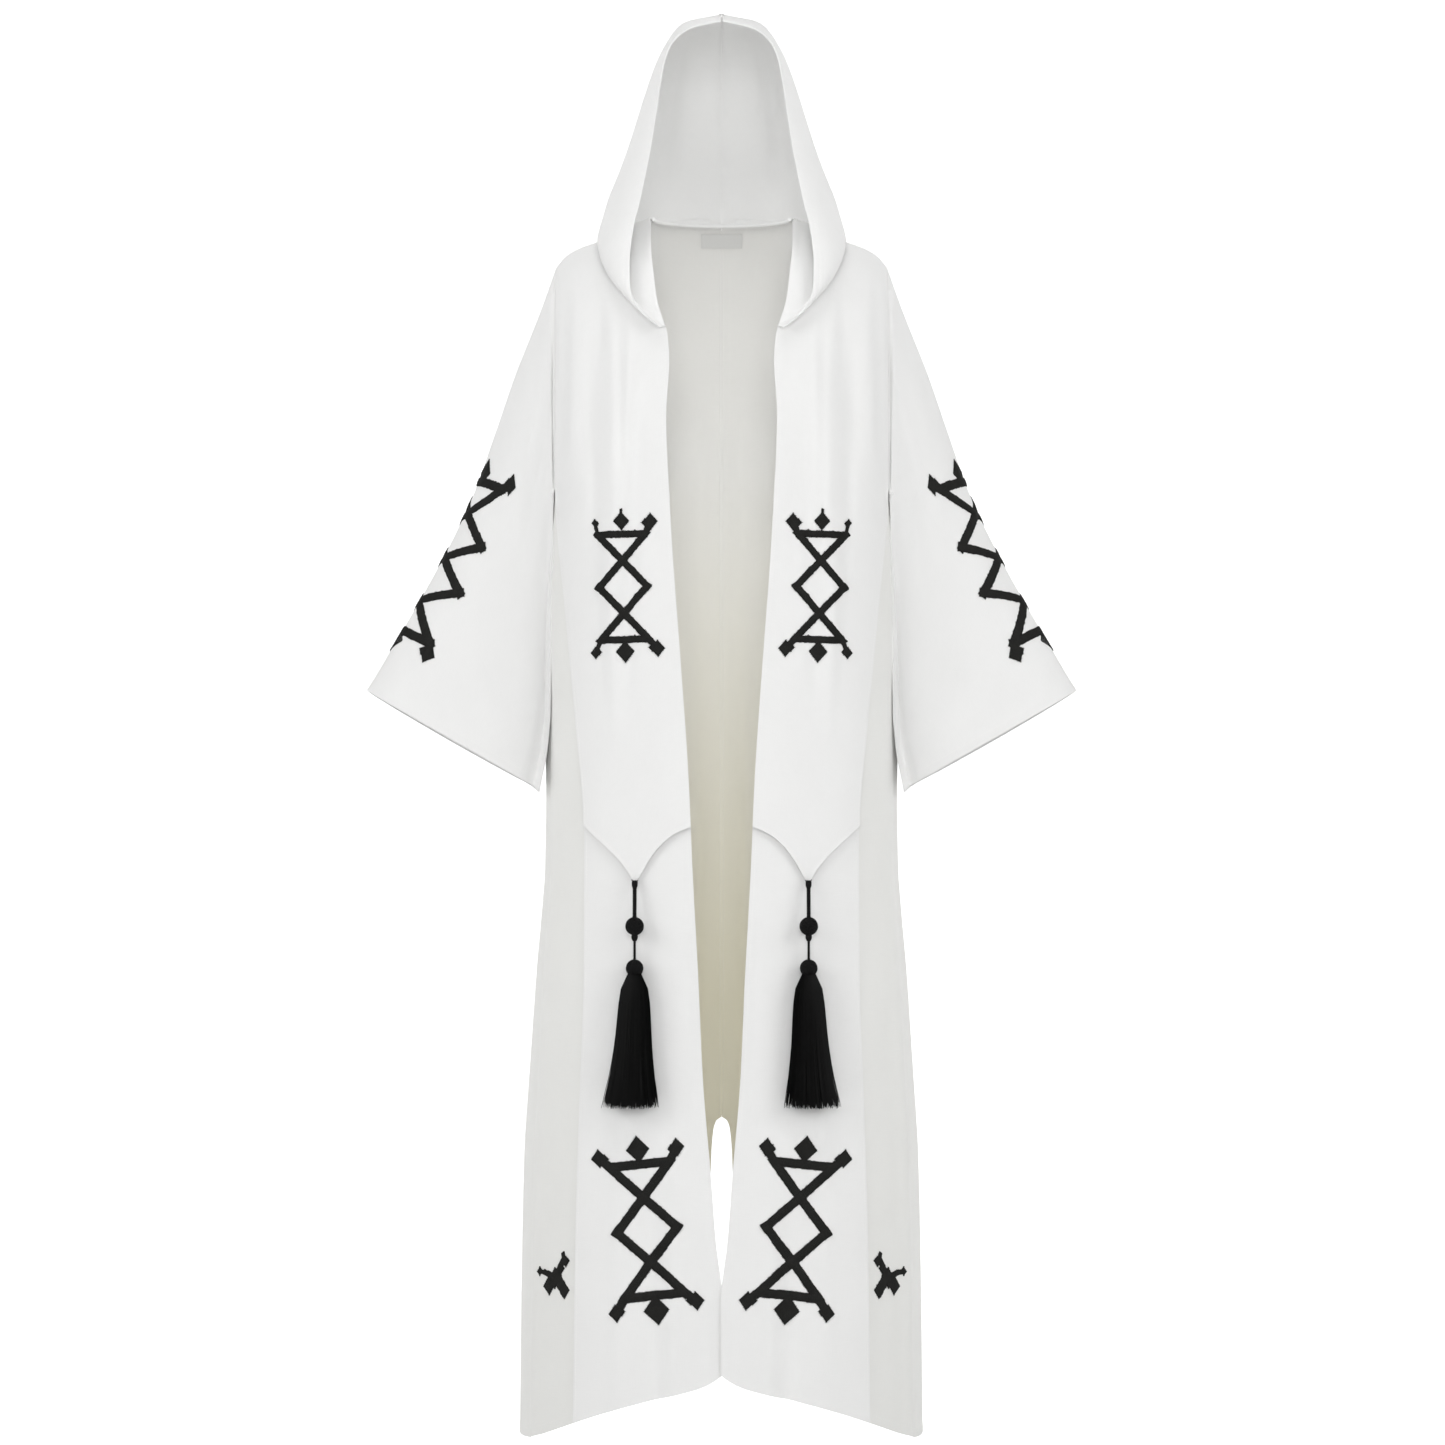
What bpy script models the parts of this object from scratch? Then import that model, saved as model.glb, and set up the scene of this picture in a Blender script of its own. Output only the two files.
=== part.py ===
"""Hooded open-front muslin kaftan, in the form it takes when worn.

Metres, +Z up. The front faces -Y and the wearer's left is +X. The origin is on the
middle plane, level with the shoulders where they meet the neck, under the shoulder seams.
Every cloth piece is a thin wall: its outer points are worked out from the girths, edges
and folds below, and the same points moved in by the wall make its inner face.
"""

import math
from collections import namedtuple

import bmesh
import bpy
import numpy as np
from mathutils import Vector
from mathutils.geometry import delaunay_2d_cdt

# Cloth
WALL = 0.0018
SEAM = 0.0003
LAYER = WALL + SEAM
SIDES = (("left", 1), ("right", -1))

# Body of the garment, half round
ROUNDNESS = 2.7
SHOULDER_ROUND = 0.12
NECK_HALF_WIDTH = 0.085
NECK_SIDE_HEIGHT = 0.026
NAPE_HEIGHT = 0.0245
NAPE_DEPTH = 0.070
ARMHOLE_HALF_WIDTH = 0.198
UNDERARM_HEIGHT = -0.300
HEM_CENTRE_HEIGHT = -1.356
HEM_PEAK = 0.016
HEM_PEAK_WIDTH = 0.018
HEM_SLOPE = 0.10
HEM_CURVE = 0.83
GORE_OVERLAP = 0.022
GORE_CLEARANCE = 0.0012
LOWER_FRONT_TOP = -0.655
SIDE_COLUMNS = (0.30, 0.56, 0.76, 0.90, 1.0)

Girth = namedtuple("Girth", "height half_width front back")
GIRTHS = (
    Girth(0.030, 0.2085, 0.112, 0.100),
    Girth(-0.120, 0.2085, 0.120, 0.106),
    Girth(-0.300, 0.2085, 0.126, 0.110),
    Girth(-0.450, 0.2085, 0.126, 0.106),
    Girth(-0.640, 0.2100, 0.128, 0.112),
    Girth(-0.750, 0.2160, 0.131, 0.120),
    Girth(-0.875, 0.2258, 0.135, 0.128),
    Girth(-1.000, 0.2318, 0.140, 0.136),
    Girth(-1.100, 0.2368, 0.144, 0.142),
    Girth(-1.256, 0.2400, 0.150, 0.150),
    Girth(-1.440, 0.2420, 0.156, 0.156),
)

# Top line of the shoulder, from the neck out
ShoulderPoint = namedtuple("ShoulderPoint", "across height")
SHOULDER_LINE = (
    ShoulderPoint(0.085, 0.026),
    ShoulderPoint(0.115, 0.0145),
    ShoulderPoint(0.150, 0.000),
    ShoulderPoint(0.172, -0.008),
    ShoulderPoint(0.188, -0.018),
    ShoulderPoint(0.198, -0.030),
)

# Free front edge, from the side of the neck down to the hem
EdgePoint = namedtuple("EdgePoint", "height across")
FRONT_EDGE = (
    EdgePoint(0.026, 0.0850),
    EdgePoint(-0.028, 0.0825),
    EdgePoint(-0.080, 0.0755),
    EdgePoint(-0.122, 0.0635),
    EdgePoint(-0.150, 0.0615),
    EdgePoint(-0.215, 0.0652),
    EdgePoint(-0.317, 0.0610),
    EdgePoint(-0.385, 0.0570),
    EdgePoint(-0.520, 0.0470),
    EdgePoint(-0.644, 0.0387),
    EdgePoint(-0.742, 0.0346),
    EdgePoint(-0.866, 0.0281),
    EdgePoint(-0.996, 0.0222),
    EdgePoint(-1.108, 0.0125),
    EdgePoint(-1.183, 0.0068),
    EdgePoint(-1.245, 0.0006),
    EdgePoint(-1.430, 0.0006),
)

# Line where the front and back panels end on the side gore
SIDE_SEAM = (
    EdgePoint(0.000, 0.1980),
    EdgePoint(-0.300, 0.1980),
    EdgePoint(-0.450, 0.1850),
    EdgePoint(-0.580, 0.1725),
    EdgePoint(-0.700, 0.1630),
    EdgePoint(-0.870, 0.1635),
    EdgePoint(-1.040, 0.1690),
    EdgePoint(-1.210, 0.1735),
    EdgePoint(-1.430, 0.1760),
)

# Slit at the foot of the centre back seam, half its width
BACK_SLIT = (
    EdgePoint(0.030, 0.00015),
    EdgePoint(-1.060, 0.00015),
    EdgePoint(-1.064, 0.0060),
    EdgePoint(-1.076, 0.0100),
    EdgePoint(-1.100, 0.0122),
    EdgePoint(-1.180, 0.0150),
    EdgePoint(-1.430, 0.0300),
)

# Pointed hem of the upper front, from its tip towards the opening and towards the side
OGEE_TIP_ACROSS = 0.0985
OGEE_TIP_HEIGHT = -0.766
OgeePoint = namedtuple("OgeePoint", "out rise")
OGEE_TO_OPENING = (
    OgeePoint(0.0000, 0.0000),
    OgeePoint(0.0060, 0.0094),
    OgeePoint(0.0153, 0.0260),
    OgeePoint(0.0282, 0.0435),
    OgeePoint(0.0457, 0.0587),
    OgeePoint(0.0640, 0.0670),
)
OGEE_TO_SIDE = (
    OgeePoint(0.0000, 0.0000),
    OgeePoint(0.0058, 0.0106),
    OgeePoint(0.0187, 0.0282),
    OgeePoint(0.0340, 0.0435),
    OgeePoint(0.0492, 0.0575),
    OgeePoint(0.0660, 0.0730),
)
OGEE_LIFT = 0.003

# Soft folds. Depth is how far the ridge stands out, or the trough goes in when negative.
Fold = namedtuple("Fold", "across top bottom width left right")
FRONT_FOLDS = (
    Fold(0.137, -0.08, -0.66, 0.015, -0.0034, -0.0028),
    Fold(0.112, -0.05, -0.30, 0.012, 0.0026, 0.0020),
    Fold(0.160, -0.06, -0.52, 0.010, 0.0030, 0.0036),
    Fold(0.060, -0.16, -0.62, 0.016, 0.0022, 0.0016),
    Fold(0.140, -0.86, -1.44, 0.018, 0.0024, 0.0032),
    Fold(0.035, -0.80, -1.10, 0.014, -0.0022, -0.0016),
)
BACK_FOLDS = (
    Fold(0.024, -0.16, -1.44, 0.014, 0.0050, 0.0040),
    Fold(0.056, -0.20, -1.30, 0.015, -0.0050, -0.0060),
    Fold(0.088, -0.12, -1.44, 0.015, 0.0060, 0.0050),
    Fold(0.118, -0.18, -1.38, 0.013, -0.0040, -0.0050),
)
FOLD_FADE = 0.10
FOLD_MARGIN = 0.014

# Sleeve, from the armhole to the cuff: its outer ridge, its inner edge and its half depths
Station = namedtuple("Station", "outer_x outer_z inner_x inner_z front back")
SLEEVE = (
    Station(0.1985, -0.030, 0.2085, -0.300, 0.0590, 0.0515),
    Station(0.2190, -0.088, 0.2105, -0.352, 0.0580, 0.0510),
    Station(0.2460, -0.155, 0.2105, -0.400, 0.0550, 0.0505),
    Station(0.2720, -0.230, 0.2105, -0.445, 0.050, 0.049),
    Station(0.2975, -0.302, 0.2107, -0.488, 0.047, 0.047),
    Station(0.3280, -0.367, 0.2110, -0.530, 0.044, 0.045),
    Station(0.3595, -0.425, 0.2118, -0.570, 0.041, 0.043),
    Station(0.3920, -0.481, 0.2136, -0.612, 0.038, 0.041),
    Station(0.4254, -0.5376, 0.2185, -0.656, 0.035, 0.039),
)
SLEEVE_RINGS = 13
ARMHOLE_STEPS = 7
UNDERARM_STEPS = 5
UNDERARM_TURN = math.radians(145)
UNDERARM_SQUARE = 0.20
UNDERARM_CLEARANCE = 0.0012
ARMHOLE_BLEND = 0.24
SLEEVE_CREASE = 0.004
SLEEVE_CREASE_TURN = math.radians(105)
SLEEVE_CREASE_SPREAD = math.radians(20)
RIGHT_CREASE_SHARE = 0.7

# Hood, one row for each line from its front edge, over its side, to the neck or middle seam
HoodLine = namedtuple("HoodLine", "edge side end")
HOOD = (
    HoodLine((0.0730, -0.1285, -0.1120), (0.0700, -0.1275, -0.1115), (0.0665, -0.1240, -0.1110)),
    HoodLine((0.0880, -0.1290, -0.1000), (0.0900, -0.1270, -0.0990), (0.0710, -0.1180, -0.0970)),
    HoodLine((0.1020, -0.1265, -0.0820), (0.1085, -0.1200, -0.0810), (0.0760, -0.1100, -0.0790)),
    HoodLine((0.1076, -0.1220, -0.0616), (0.1320, -0.1010, -0.0560), (0.0795, -0.0990, -0.0560)),
    HoodLine((0.1083, -0.1160, -0.0342), (0.1450, -0.0760, -0.0260), (0.0832, -0.0880, -0.0220)),
    HoodLine((0.1080, -0.1140, -0.0260), (0.1472, -0.0640, -0.0150), (0.0848, -0.0700, 0.0000)),
    HoodLine((0.1073, -0.1115, -0.0185), (0.1485, -0.0520, -0.0070), (0.0854, -0.0450, 0.0160)),
    HoodLine((0.1066, -0.1090, -0.0113), (0.1490, -0.0420, -0.0010), (0.0860, -0.0050, 0.0280)),
    HoodLine((0.1026, -0.1030, 0.0141), (0.1475, -0.0150, 0.0120), (0.0760, 0.0330, 0.0280)),
    HoodLine((0.0975, -0.0975, 0.0333), (0.1430, -0.0050, 0.0290), (0.0430, 0.0610, 0.0270)),
    HoodLine((0.0922, -0.0930, 0.0587), (0.1375, 0.0000, 0.0500), (0.0000, 0.0712, 0.0270)),
    HoodLine((0.0840, -0.0850, 0.1008), (0.1215, 0.0100, 0.0900), (0.0000, 0.0980, 0.0700)),
    HoodLine((0.0777, -0.0770, 0.1429), (0.1060, 0.0150, 0.1360), (0.0000, 0.1200, 0.1250)),
    HoodLine((0.0729, -0.0695, 0.1796), (0.0920, 0.0180, 0.1800), (0.0000, 0.1240, 0.1800)),
    HoodLine((0.0677, -0.0630, 0.2101), (0.0795, 0.0150, 0.2160), (0.0000, 0.1060, 0.2280)),
    HoodLine((0.0583, -0.0575, 0.2322), (0.0650, 0.0050, 0.2430), (0.0000, 0.0700, 0.2585)),
    HoodLine((0.0375, -0.0510, 0.2497), (0.0430, -0.0120, 0.2640), (0.0000, 0.0200, 0.2720)),
    HoodLine((0.0040, -0.0460, 0.2595), (0.0042, -0.0420, 0.2645), (0.0000, -0.0370, 0.2680)),
)
HOOD_ROWS = 23
HOOD_COLUMNS = 12
HOOD_CLEARANCE = 0.0030
HOOD_SEAM_CLEARANCE = 0.0009

# Blank label inside the back of the neck
LABEL_ROWS = (1.15, 2.0, 2.35)
LABEL_COLUMNS = (1.4, 1.0, 0.0)
LABEL_THICKNESS = 0.001

# Applied bands, raised on the cloth
BAND_THICKNESS = 0.0011
BAND_LIFT = 0.0005
NOTCH = 0.0006
Motif = namedtuple("Motif", "half_width corner crossing knob_out knob_up diamond_up diamond band crossings")
UPPER_MOTIF = Motif(0.0285, 0.062, 0.031, 0.0335, 0.0765, 0.0745, 0.0105, 0.0072, 2)
LOWER_MOTIF = Motif(0.0375, 0.077, 0.038, 0.0450, 0.0925, 0.0945, 0.0135, 0.0096, 2)
SLEEVE_MOTIF = Motif(0.0330, 0.095, 0.056, 0.0420, 0.1120, 0.1090, 0.0120, 0.0090, 3)
UPPER_MOTIF_PLACE = (0.1087, -0.4183)
LOWER_MOTIF_PLACE = (0.0825, -1.169)
LOWER_MOTIF_TILT = math.radians(6.4)
SLEEVE_MOTIF_DOWN = 0.380
GORE_MOTIF_HEIGHT = -1.243
GORE_MOTIF_OUT = 0.026

# Tassel
CORD_RADIUS = 0.0025
BEAD_RADIUS = 0.0107
BEAD_HEIGHT = -0.8147
HEAD_RADIUS = 0.0102
CORD_HOLE_TURN = math.radians(16)
HEAD_FOOT_TURN = math.radians(135)
HEAD_HEIGHT = -0.8638
SKIRT_ROOT_HEIGHT = -0.884
SKIRT_END_HEIGHT = -1.0235
SKIRT_ROOT_RADIUS = 0.013
SKIRT_END_RADIUS = 0.0275
SKIRT_FLATNESS = 0.52
TASSEL_SECTORS = 12

MUSLIN = ("muslin", (0.86, 0.86, 0.83), 0.9)
MUSLIN_SIDE = ("muslin_side", (0.78, 0.78, 0.74), 0.9)
EMBROIDERY = ("embroidery", (0.012, 0.012, 0.011), 0.7)
TASSEL_YARN = ("tassel_yarn", (0.008, 0.008, 0.008), 0.6)
LABEL_TAPE = ("label_tape", (0.60, 0.60, 0.60), 0.6)


class Curve:
    """A smooth line through a short table, which never overshoots its points."""

    def __init__(self, places, values):
        order = np.argsort(places)
        self.places = np.array(places, float)[order]
        self.values = np.array(values, float)[order]
        steps = np.diff(self.places)
        rises = np.diff(self.values) / steps
        slopes = np.zeros(len(self.places))
        slopes[0] = rises[0]
        slopes[-1] = rises[-1]
        for index in range(1, len(slopes) - 1):
            before = rises[index - 1]
            after = rises[index]
            if before * after > 0:
                slopes[index] = 2 * before * after / (before + after)
        self.slopes = slopes

    def __call__(self, at):
        at = min(max(at, self.places[0]), self.places[-1])
        index = min(max(int(np.searchsorted(self.places, at)) - 1, 0), len(self.places) - 2)
        step = self.places[index + 1] - self.places[index]
        t = (at - self.places[index]) / step
        ease = t * t * (3 - 2 * t)
        bend_start = t * (1 - t) ** 2 * step * self.slopes[index]
        bend_end = t * t * (t - 1) * step * self.slopes[index + 1]
        return self.values[index] * (1 - ease) + self.values[index + 1] * ease + bend_start + bend_end


def column(table, place, value):
    """The curve of one named column of a table against another."""
    return Curve([getattr(row, place) for row in table], [getattr(row, value) for row in table])


half_width_at = column(GIRTHS, "height", "half_width")
front_at = column(GIRTHS, "height", "front")
back_at = column(GIRTHS, "height", "back")
shoulder_at = column(SHOULDER_LINE, "across", "height")
front_edge_at = column(FRONT_EDGE, "height", "across")
side_seam_at = column(SIDE_SEAM, "height", "across")
back_slit_at = column(BACK_SLIT, "height", "across")
ogee_to_opening = column(OGEE_TO_OPENING, "out", "rise")
ogee_to_side = column(OGEE_TO_SIDE, "out", "rise")


def ease(value):
    """0 to 1 with a soft start and end."""
    value = min(max(value, 0.0), 1.0)
    return value * value * (3 - 2 * value)


def top_height(x):
    """Height of the shoulder seam, and of the back neck between the two shoulders."""
    if x >= NECK_HALF_WIDTH:
        return shoulder_at(x)
    return NAPE_HEIGHT + (NECK_SIDE_HEIGHT - NAPE_HEIGHT) * (x / NECK_HALF_WIDTH) ** 2


def hem_height(x):
    """The hem hangs lowest at the sides and rises to a small peak in the middle."""
    peak = HEM_PEAK * math.exp(-x / HEM_PEAK_WIDTH)
    return HEM_CENTRE_HEIGHT - HEM_SLOPE * x - HEM_CURVE * x * x + peak


def back_hem_height(x):
    return HEM_CENTRE_HEIGHT - HEM_SLOPE * x - HEM_CURVE * x * x


def ogee_height(x):
    """Hem of the upper front: a point where the tassel hangs, with a hollow curve each side."""
    out = x - OGEE_TIP_ACROSS
    rise = ogee_to_side(out) if out > 0 else ogee_to_opening(-out)
    return OGEE_TIP_HEIGHT + rise


def lower_front_top(x):
    return LOWER_FRONT_TOP


def section(x, height):
    """How deep the body is at x, as a share of its depth in the middle."""
    share = min(x / half_width_at(height), 1.0)
    return (1 - share ** ROUNDNESS) ** (1 / ROUNDNESS)


def shoulder_cap(drop):
    """The body rounds forward and back from its top line over this drop."""
    if drop >= SHOULDER_ROUND:
        return 1.0
    return math.sqrt(max(0.0, 1 - (1 - drop / SHOULDER_ROUND) ** 2))


def front_y(x, z, raise_top=0.0):
    """Depth of the front of the body."""
    return -front_at(z) * section(x, z) * shoulder_cap(top_height(x) + raise_top - z)


def back_y(x, z, raise_top=0.0):
    """Depth of the back of the body, which starts at the nape between the shoulders."""
    start = 0.0
    if x < NECK_HALF_WIDTH:
        start = NAPE_DEPTH * math.sqrt(1 - (x / NECK_HALF_WIDTH) ** 2)
    full = back_at(z) * section(x, z)
    return start + (full - start) * shoulder_cap(top_height(x) + raise_top - z)


def fold_height(folds, x, z, side):
    """How far the folds move the cloth out at one place. They fade out before the side seam,
    where the gore lies under the panel."""
    total = 0.0
    flat_from = side_seam_at(z) - GORE_OVERLAP - FOLD_MARGIN
    still = 1 - (1 - ease((flat_from - x) / 0.02)) * ease((UNDERARM_HEIGHT + 0.08 - z) / 0.08)
    for fold in folds:
        depth = fold.left if side > 0 else fold.right
        down = ease((fold.top - z) / FOLD_FADE) * ease((z - fold.bottom) / FOLD_FADE)
        if fold.bottom < hem_height(x) - 0.001:
            down = ease((fold.top - z) / FOLD_FADE)
        total += depth * down * still * math.exp(-((x - fold.across) / fold.width) ** 2)
    return total


def normals(grid, out, ring=False):
    """Unit normals of a grid of points. out is 1 or -1, and ring joins its two side columns."""
    down = np.gradient(grid, axis=0)
    if ring:
        across = np.roll(grid, -1, axis=1) - np.roll(grid, 1, axis=1)
    else:
        across = np.gradient(grid, axis=1)
    normal = np.cross(down, across) * out
    return normal / np.linalg.norm(normal, axis=2, keepdims=True)


def moved(grid, distance, out, ring=False):
    """The grid moved out of its own surface."""
    return grid + normals(grid, out, ring) * distance


def material(finish):
    """A plain principled material, made once for each finish."""
    name, colour, roughness = finish
    found = bpy.data.materials.get(name)
    if found:
        return found
    made = bpy.data.materials.new(name)
    made.use_nodes = True
    shader = made.node_tree.nodes["Principled BSDF"]
    shader.inputs["Base Color"].default_value = (*colour, 1.0)
    shader.inputs["Roughness"].default_value = roughness
    shader.inputs["Metallic"].default_value = 0.0
    made.diffuse_color = (*colour, 1.0)
    return made


def add_object(name, points, faces, finish, side=1):
    """One named solid. The other side of the garment is the mirror image in X."""
    mesh = bpy.data.meshes.new(name)
    mesh.from_pydata([(p[0] * side, p[1], p[2]) for p in points], [], faces)
    form = bmesh.new()
    form.from_mesh(mesh)
    bmesh.ops.recalc_face_normals(form, faces=form.faces)
    form.to_mesh(mesh)
    form.free()
    mesh.shade_smooth()
    mesh.set_sharp_from_angle(angle=math.radians(50))
    made = bpy.data.objects.new(name, mesh)
    made.data.materials.append(material(finish))
    bpy.context.collection.objects.link(made)
    return made


def wall(name, outer, finish, side, out, ring=False, thickness=WALL, square=()):
    """A cloth piece. square lists the rims, as (row or None, column or None, axis), whose cut
    is square to that axis, so that two pieces meet there face to face."""
    inner = moved(outer, -thickness, out, ring)
    for row, col, axis in square:
        rows = slice(None) if row is None else row
        cols = slice(None) if col is None else col
        inner[rows, cols, axis] = outer[rows, cols, axis]
    rows, cols = outer.shape[:2]
    layer = rows * cols
    points = np.concatenate([outer.reshape(-1, 3), inner.reshape(-1, 3)])
    around = cols if ring else cols - 1

    def at(row, col, lower):
        return lower * layer + row * cols + col % cols

    faces = []
    for row in range(rows - 1):
        for col in range(around):
            for lower in (0, 1):
                start = at(row, col, lower)
                far = at(row + 1, col + 1, lower)
                for half in ([start, at(row, col + 1, lower), far], [start, far, at(row + 1, col, lower)]):
                    faces.append(half[::-1] if lower else half)
    for col in range(around):
        faces.append([at(0, col, 0), at(0, col, 1), at(0, col + 1, 1), at(0, col + 1, 0)])
        last = rows - 1
        faces.append([at(last, col, 0), at(last, col + 1, 0), at(last, col + 1, 1), at(last, col, 1)])
    if not ring:
        for row in range(rows - 1):
            faces.append([at(row, 0, 0), at(row + 1, 0, 0), at(row + 1, 0, 1), at(row, 0, 1)])
            last = cols - 1
            faces.append([at(row, last, 0), at(row, last, 1), at(row + 1, last, 1), at(row + 1, last, 0)])
    return add_object(name, points.tolist(), faces, finish, side)


def cap_rows(count, length):
    """Shares of the length that follow the round of the shoulder."""
    turns = [math.radians(90) * step / count for step in range(count)]
    return [SHOULDER_ROUND * (1 - math.cos(turn)) / length for turn in turns]


class FrontPanel:
    """One front piece, between its free edge and the side seam, from top to bottom lines."""

    def __init__(self, top, level, bottom, rows, columns, side, hem_lift=0.0):
        self.top = top
        self.level = level
        self.bottom = bottom
        top_side = top(NECK_HALF_WIDTH)
        self.straight = (top_side - level) / (top_side - bottom(OGEE_TIP_ACROSS))
        self.rows = rows
        self.columns = columns
        self.side = side
        self.hem_lift = hem_lift
        self.points = np.array([[self.point(row, col) for col in columns] for row in rows])

    def height(self, x, down):
        if down < self.straight:
            return self.top(x) + (self.level - self.top(x)) * down / self.straight
        return self.level + (self.bottom(x) - self.level) * (down - self.straight) / (1 - self.straight)

    def edges(self, down):
        """Where this row meets the free edge and the side seam."""
        found = []
        for curve in (front_edge_at, side_seam_at):
            x = curve(self.height(NECK_HALF_WIDTH, down))
            for _ in range(6):
                x = curve(self.height(x, down))
            found.append(x)
        return found

    def point(self, down, across):
        inner, outer = self.edges(down)
        x = inner + (outer - inner) * across
        z = self.height(x, down)
        y = min(front_y(x, z), -SEAM / 2) - fold_height(FRONT_FOLDS, x, z, self.side)
        y -= self.hem_lift * ease((down - 0.85) / 0.15)
        return x, y, z

    def place(self, x, z):
        """Row and column, as fractions, of a place on the panel seen from the front."""
        if z > self.level:
            down = self.straight * (self.top(x) - z) / (self.top(x) - self.level)
        else:
            below = (self.level - z) / (self.level - self.bottom(x))
            down = self.straight + (1 - self.straight) * below
        inner, outer = self.edges(down)
        across = (x - inner) / (outer - inner)
        row = np.interp(down, self.rows, range(len(self.rows)))
        col = np.interp(across, self.columns, range(len(self.columns)))
        return row, col


def spread(start, end, count):
    """Evenly spaced values from start to end."""
    return list(np.linspace(start, end, count))


def upper_front_panel(side):
    """Upper front, from the shoulder seam to its pointed hem. A column runs to the tip."""
    length = NECK_SIDE_HEIGHT - OGEE_TIP_HEIGHT
    level = (NECK_SIDE_HEIGHT - LOWER_FRONT_TOP) / length
    rows = cap_rows(6, length) + spread(SHOULDER_ROUND / length, level, 8) + spread(level, 1.0, 4)[1:]
    inner = front_edge_at(OGEE_TIP_HEIGHT)
    tip = (OGEE_TIP_ACROSS - inner) / (side_seam_at(OGEE_TIP_HEIGHT) - inner)
    columns = spread(0.0, tip, 5) + [tip + (1 - tip) * share for share in SIDE_COLUMNS]
    return FrontPanel(top_height, LOWER_FRONT_TOP, ogee_height, rows, columns, side, OGEE_LIFT)


def lower_front_panel(side):
    """Lower front, sewn on behind the pointed hem and hanging to the floor hem."""
    columns = [0.0, 0.06, 0.20, 0.36, 0.52, 0.68, 0.82, 0.92, 1.0]
    return FrontPanel(lower_front_top, LOWER_FRONT_TOP, hem_height, spread(0.0, 1.0, 14), columns, side)


def back_panel(side):
    """One half of the back, from the shoulder and back neck to the hem, slit at its foot."""
    slit_rows = [0.765, 0.7790, 0.7860, 0.8000, 0.8250]
    length = NECK_SIDE_HEIGHT - HEM_CENTRE_HEIGHT
    rows = cap_rows(6, length) + spread(SHOULDER_ROUND / length, 0.735, 10)
    rows += slit_rows + spread(0.87, 1.0, 3)
    points = []
    for down in rows:
        line = []
        ends = []
        for curve in (back_slit_at, side_seam_at):
            x = curve(-0.5)
            for _ in range(6):
                z = top_height(x) + (back_hem_height(x) - top_height(x)) * down
                x = curve(z)
            ends.append(x)
        for across in spread(0.0, 0.72, 9) + [0.82, 0.90, 0.955, 1.0]:
            x = ends[0] + (ends[1] - ends[0]) * across
            z = top_height(x) + (back_hem_height(x) - top_height(x)) * down
            y = max(back_y(x, z), SEAM / 2) + fold_height(BACK_FOLDS, x, z, side)
            line.append((x, y, z))
        points.append(line)
    return np.array(points)


def side_gore():
    """Side gore, tucked under the front and back panels, from the underarm to the hem."""
    points = []
    top = UNDERARM_HEIGHT - SEAM
    for down in spread(0.0, 1.0, 15):
        seam_x = ARMHOLE_HALF_WIDTH
        for _ in range(6):
            seam_z = top + (hem_height(seam_x) - top) * down
            seam_x = side_seam_at(seam_z)
        share = (seam_x - GORE_OVERLAP) / half_width_at(seam_z)
        start = math.asin(share ** (ROUNDNESS / 2))
        seam = math.asin((seam_x / half_width_at(seam_z)) ** (ROUNDNESS / 2))
        front_turns = [start, (start + seam) / 2] + spread(seam, math.pi / 2, 4)
        line = []
        for turn in front_turns + [math.pi - turn for turn in front_turns[-2::-1]]:
            x = half_width_at(seam_z) * math.sin(turn) ** (2 / ROUNDNESS)
            z = top + (back_hem_height(x) - top) * down
            x = half_width_at(z) * math.sin(turn) ** (2 / ROUNDNESS)
            depth = front_at(z) if turn < math.pi / 2 else back_at(z)
            y = -math.copysign(depth * abs(math.cos(turn)) ** (2 / ROUNDNESS), math.cos(turn))
            line.append((x, y, z))
        points.append(line)
    grid = np.array(points)
    tuck = np.zeros(grid.shape[:2])
    for row in range(tuck.shape[0]):
        for col in range(tuck.shape[1]):
            x, y, z = grid[row, col]
            under_lower = ease((LOWER_FRONT_TOP + 0.17 - z) / 0.08) * ease(0.5 - y / 0.08)
            tuck[row, col] = -(1 + under_lower) * LAYER - GORE_CLEARANCE
    return grid + normals(grid, 1) * tuck[:, :, None]


def sleeve(side):
    """Sleeve from the armhole to the wide cuff, a flattened tube with a ridge on the outside."""
    stations = {}
    shares = spread(0.0, 1.0, len(SLEEVE))
    for name in Station._fields:
        stations[name] = Curve(shares, [getattr(row, name) for row in SLEEVE])
    rings = []
    for share in [0.0, 0.06] + spread(0.14, 1.0, SLEEVE_RINGS - 2):
        outer = np.array([stations["outer_x"](share), 0.0, stations["outer_z"](share)])
        inner = np.array([stations["inner_x"](share), 0.0, stations["inner_z"](share)])
        blend = 1 - max(0.0, 1 - share / ARMHOLE_BLEND) ** 2
        square = UNDERARM_SQUARE + (1 - UNDERARM_SQUARE) * ease(share / 0.6)
        corner = (1 + math.cos(UNDERARM_TURN)) / 2
        ring = []
        for hand, turn, under in sleeve_columns():
            depth = stations["front"](share) if hand < 0 else stations["back"](share)
            if under is None:
                up = (1 + math.cos(turn)) / 2
                out = math.sin(turn) ** (square if turn > math.pi / 2 else 1.0)
            else:
                up = corner * under ** 2
                out = under * math.sin(UNDERARM_TURN) ** square
            point = inner + (outer - inner) * up
            point[1] = hand * depth * out
            if under is None and hand < 0:
                crease = math.exp(-((turn - SLEEVE_CREASE_TURN) / SLEEVE_CREASE_SPREAD) ** 2)
                crease *= math.sin(math.pi * share) ** 2
                point[1] += SLEEVE_CREASE * crease * (1.0 if side > 0 else RIGHT_CREASE_SHARE)
            ring.append(armhole_point(hand, turn, under) * (1 - blend) + point * blend)
        rings.append(ring)
    return np.array(rings)


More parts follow.
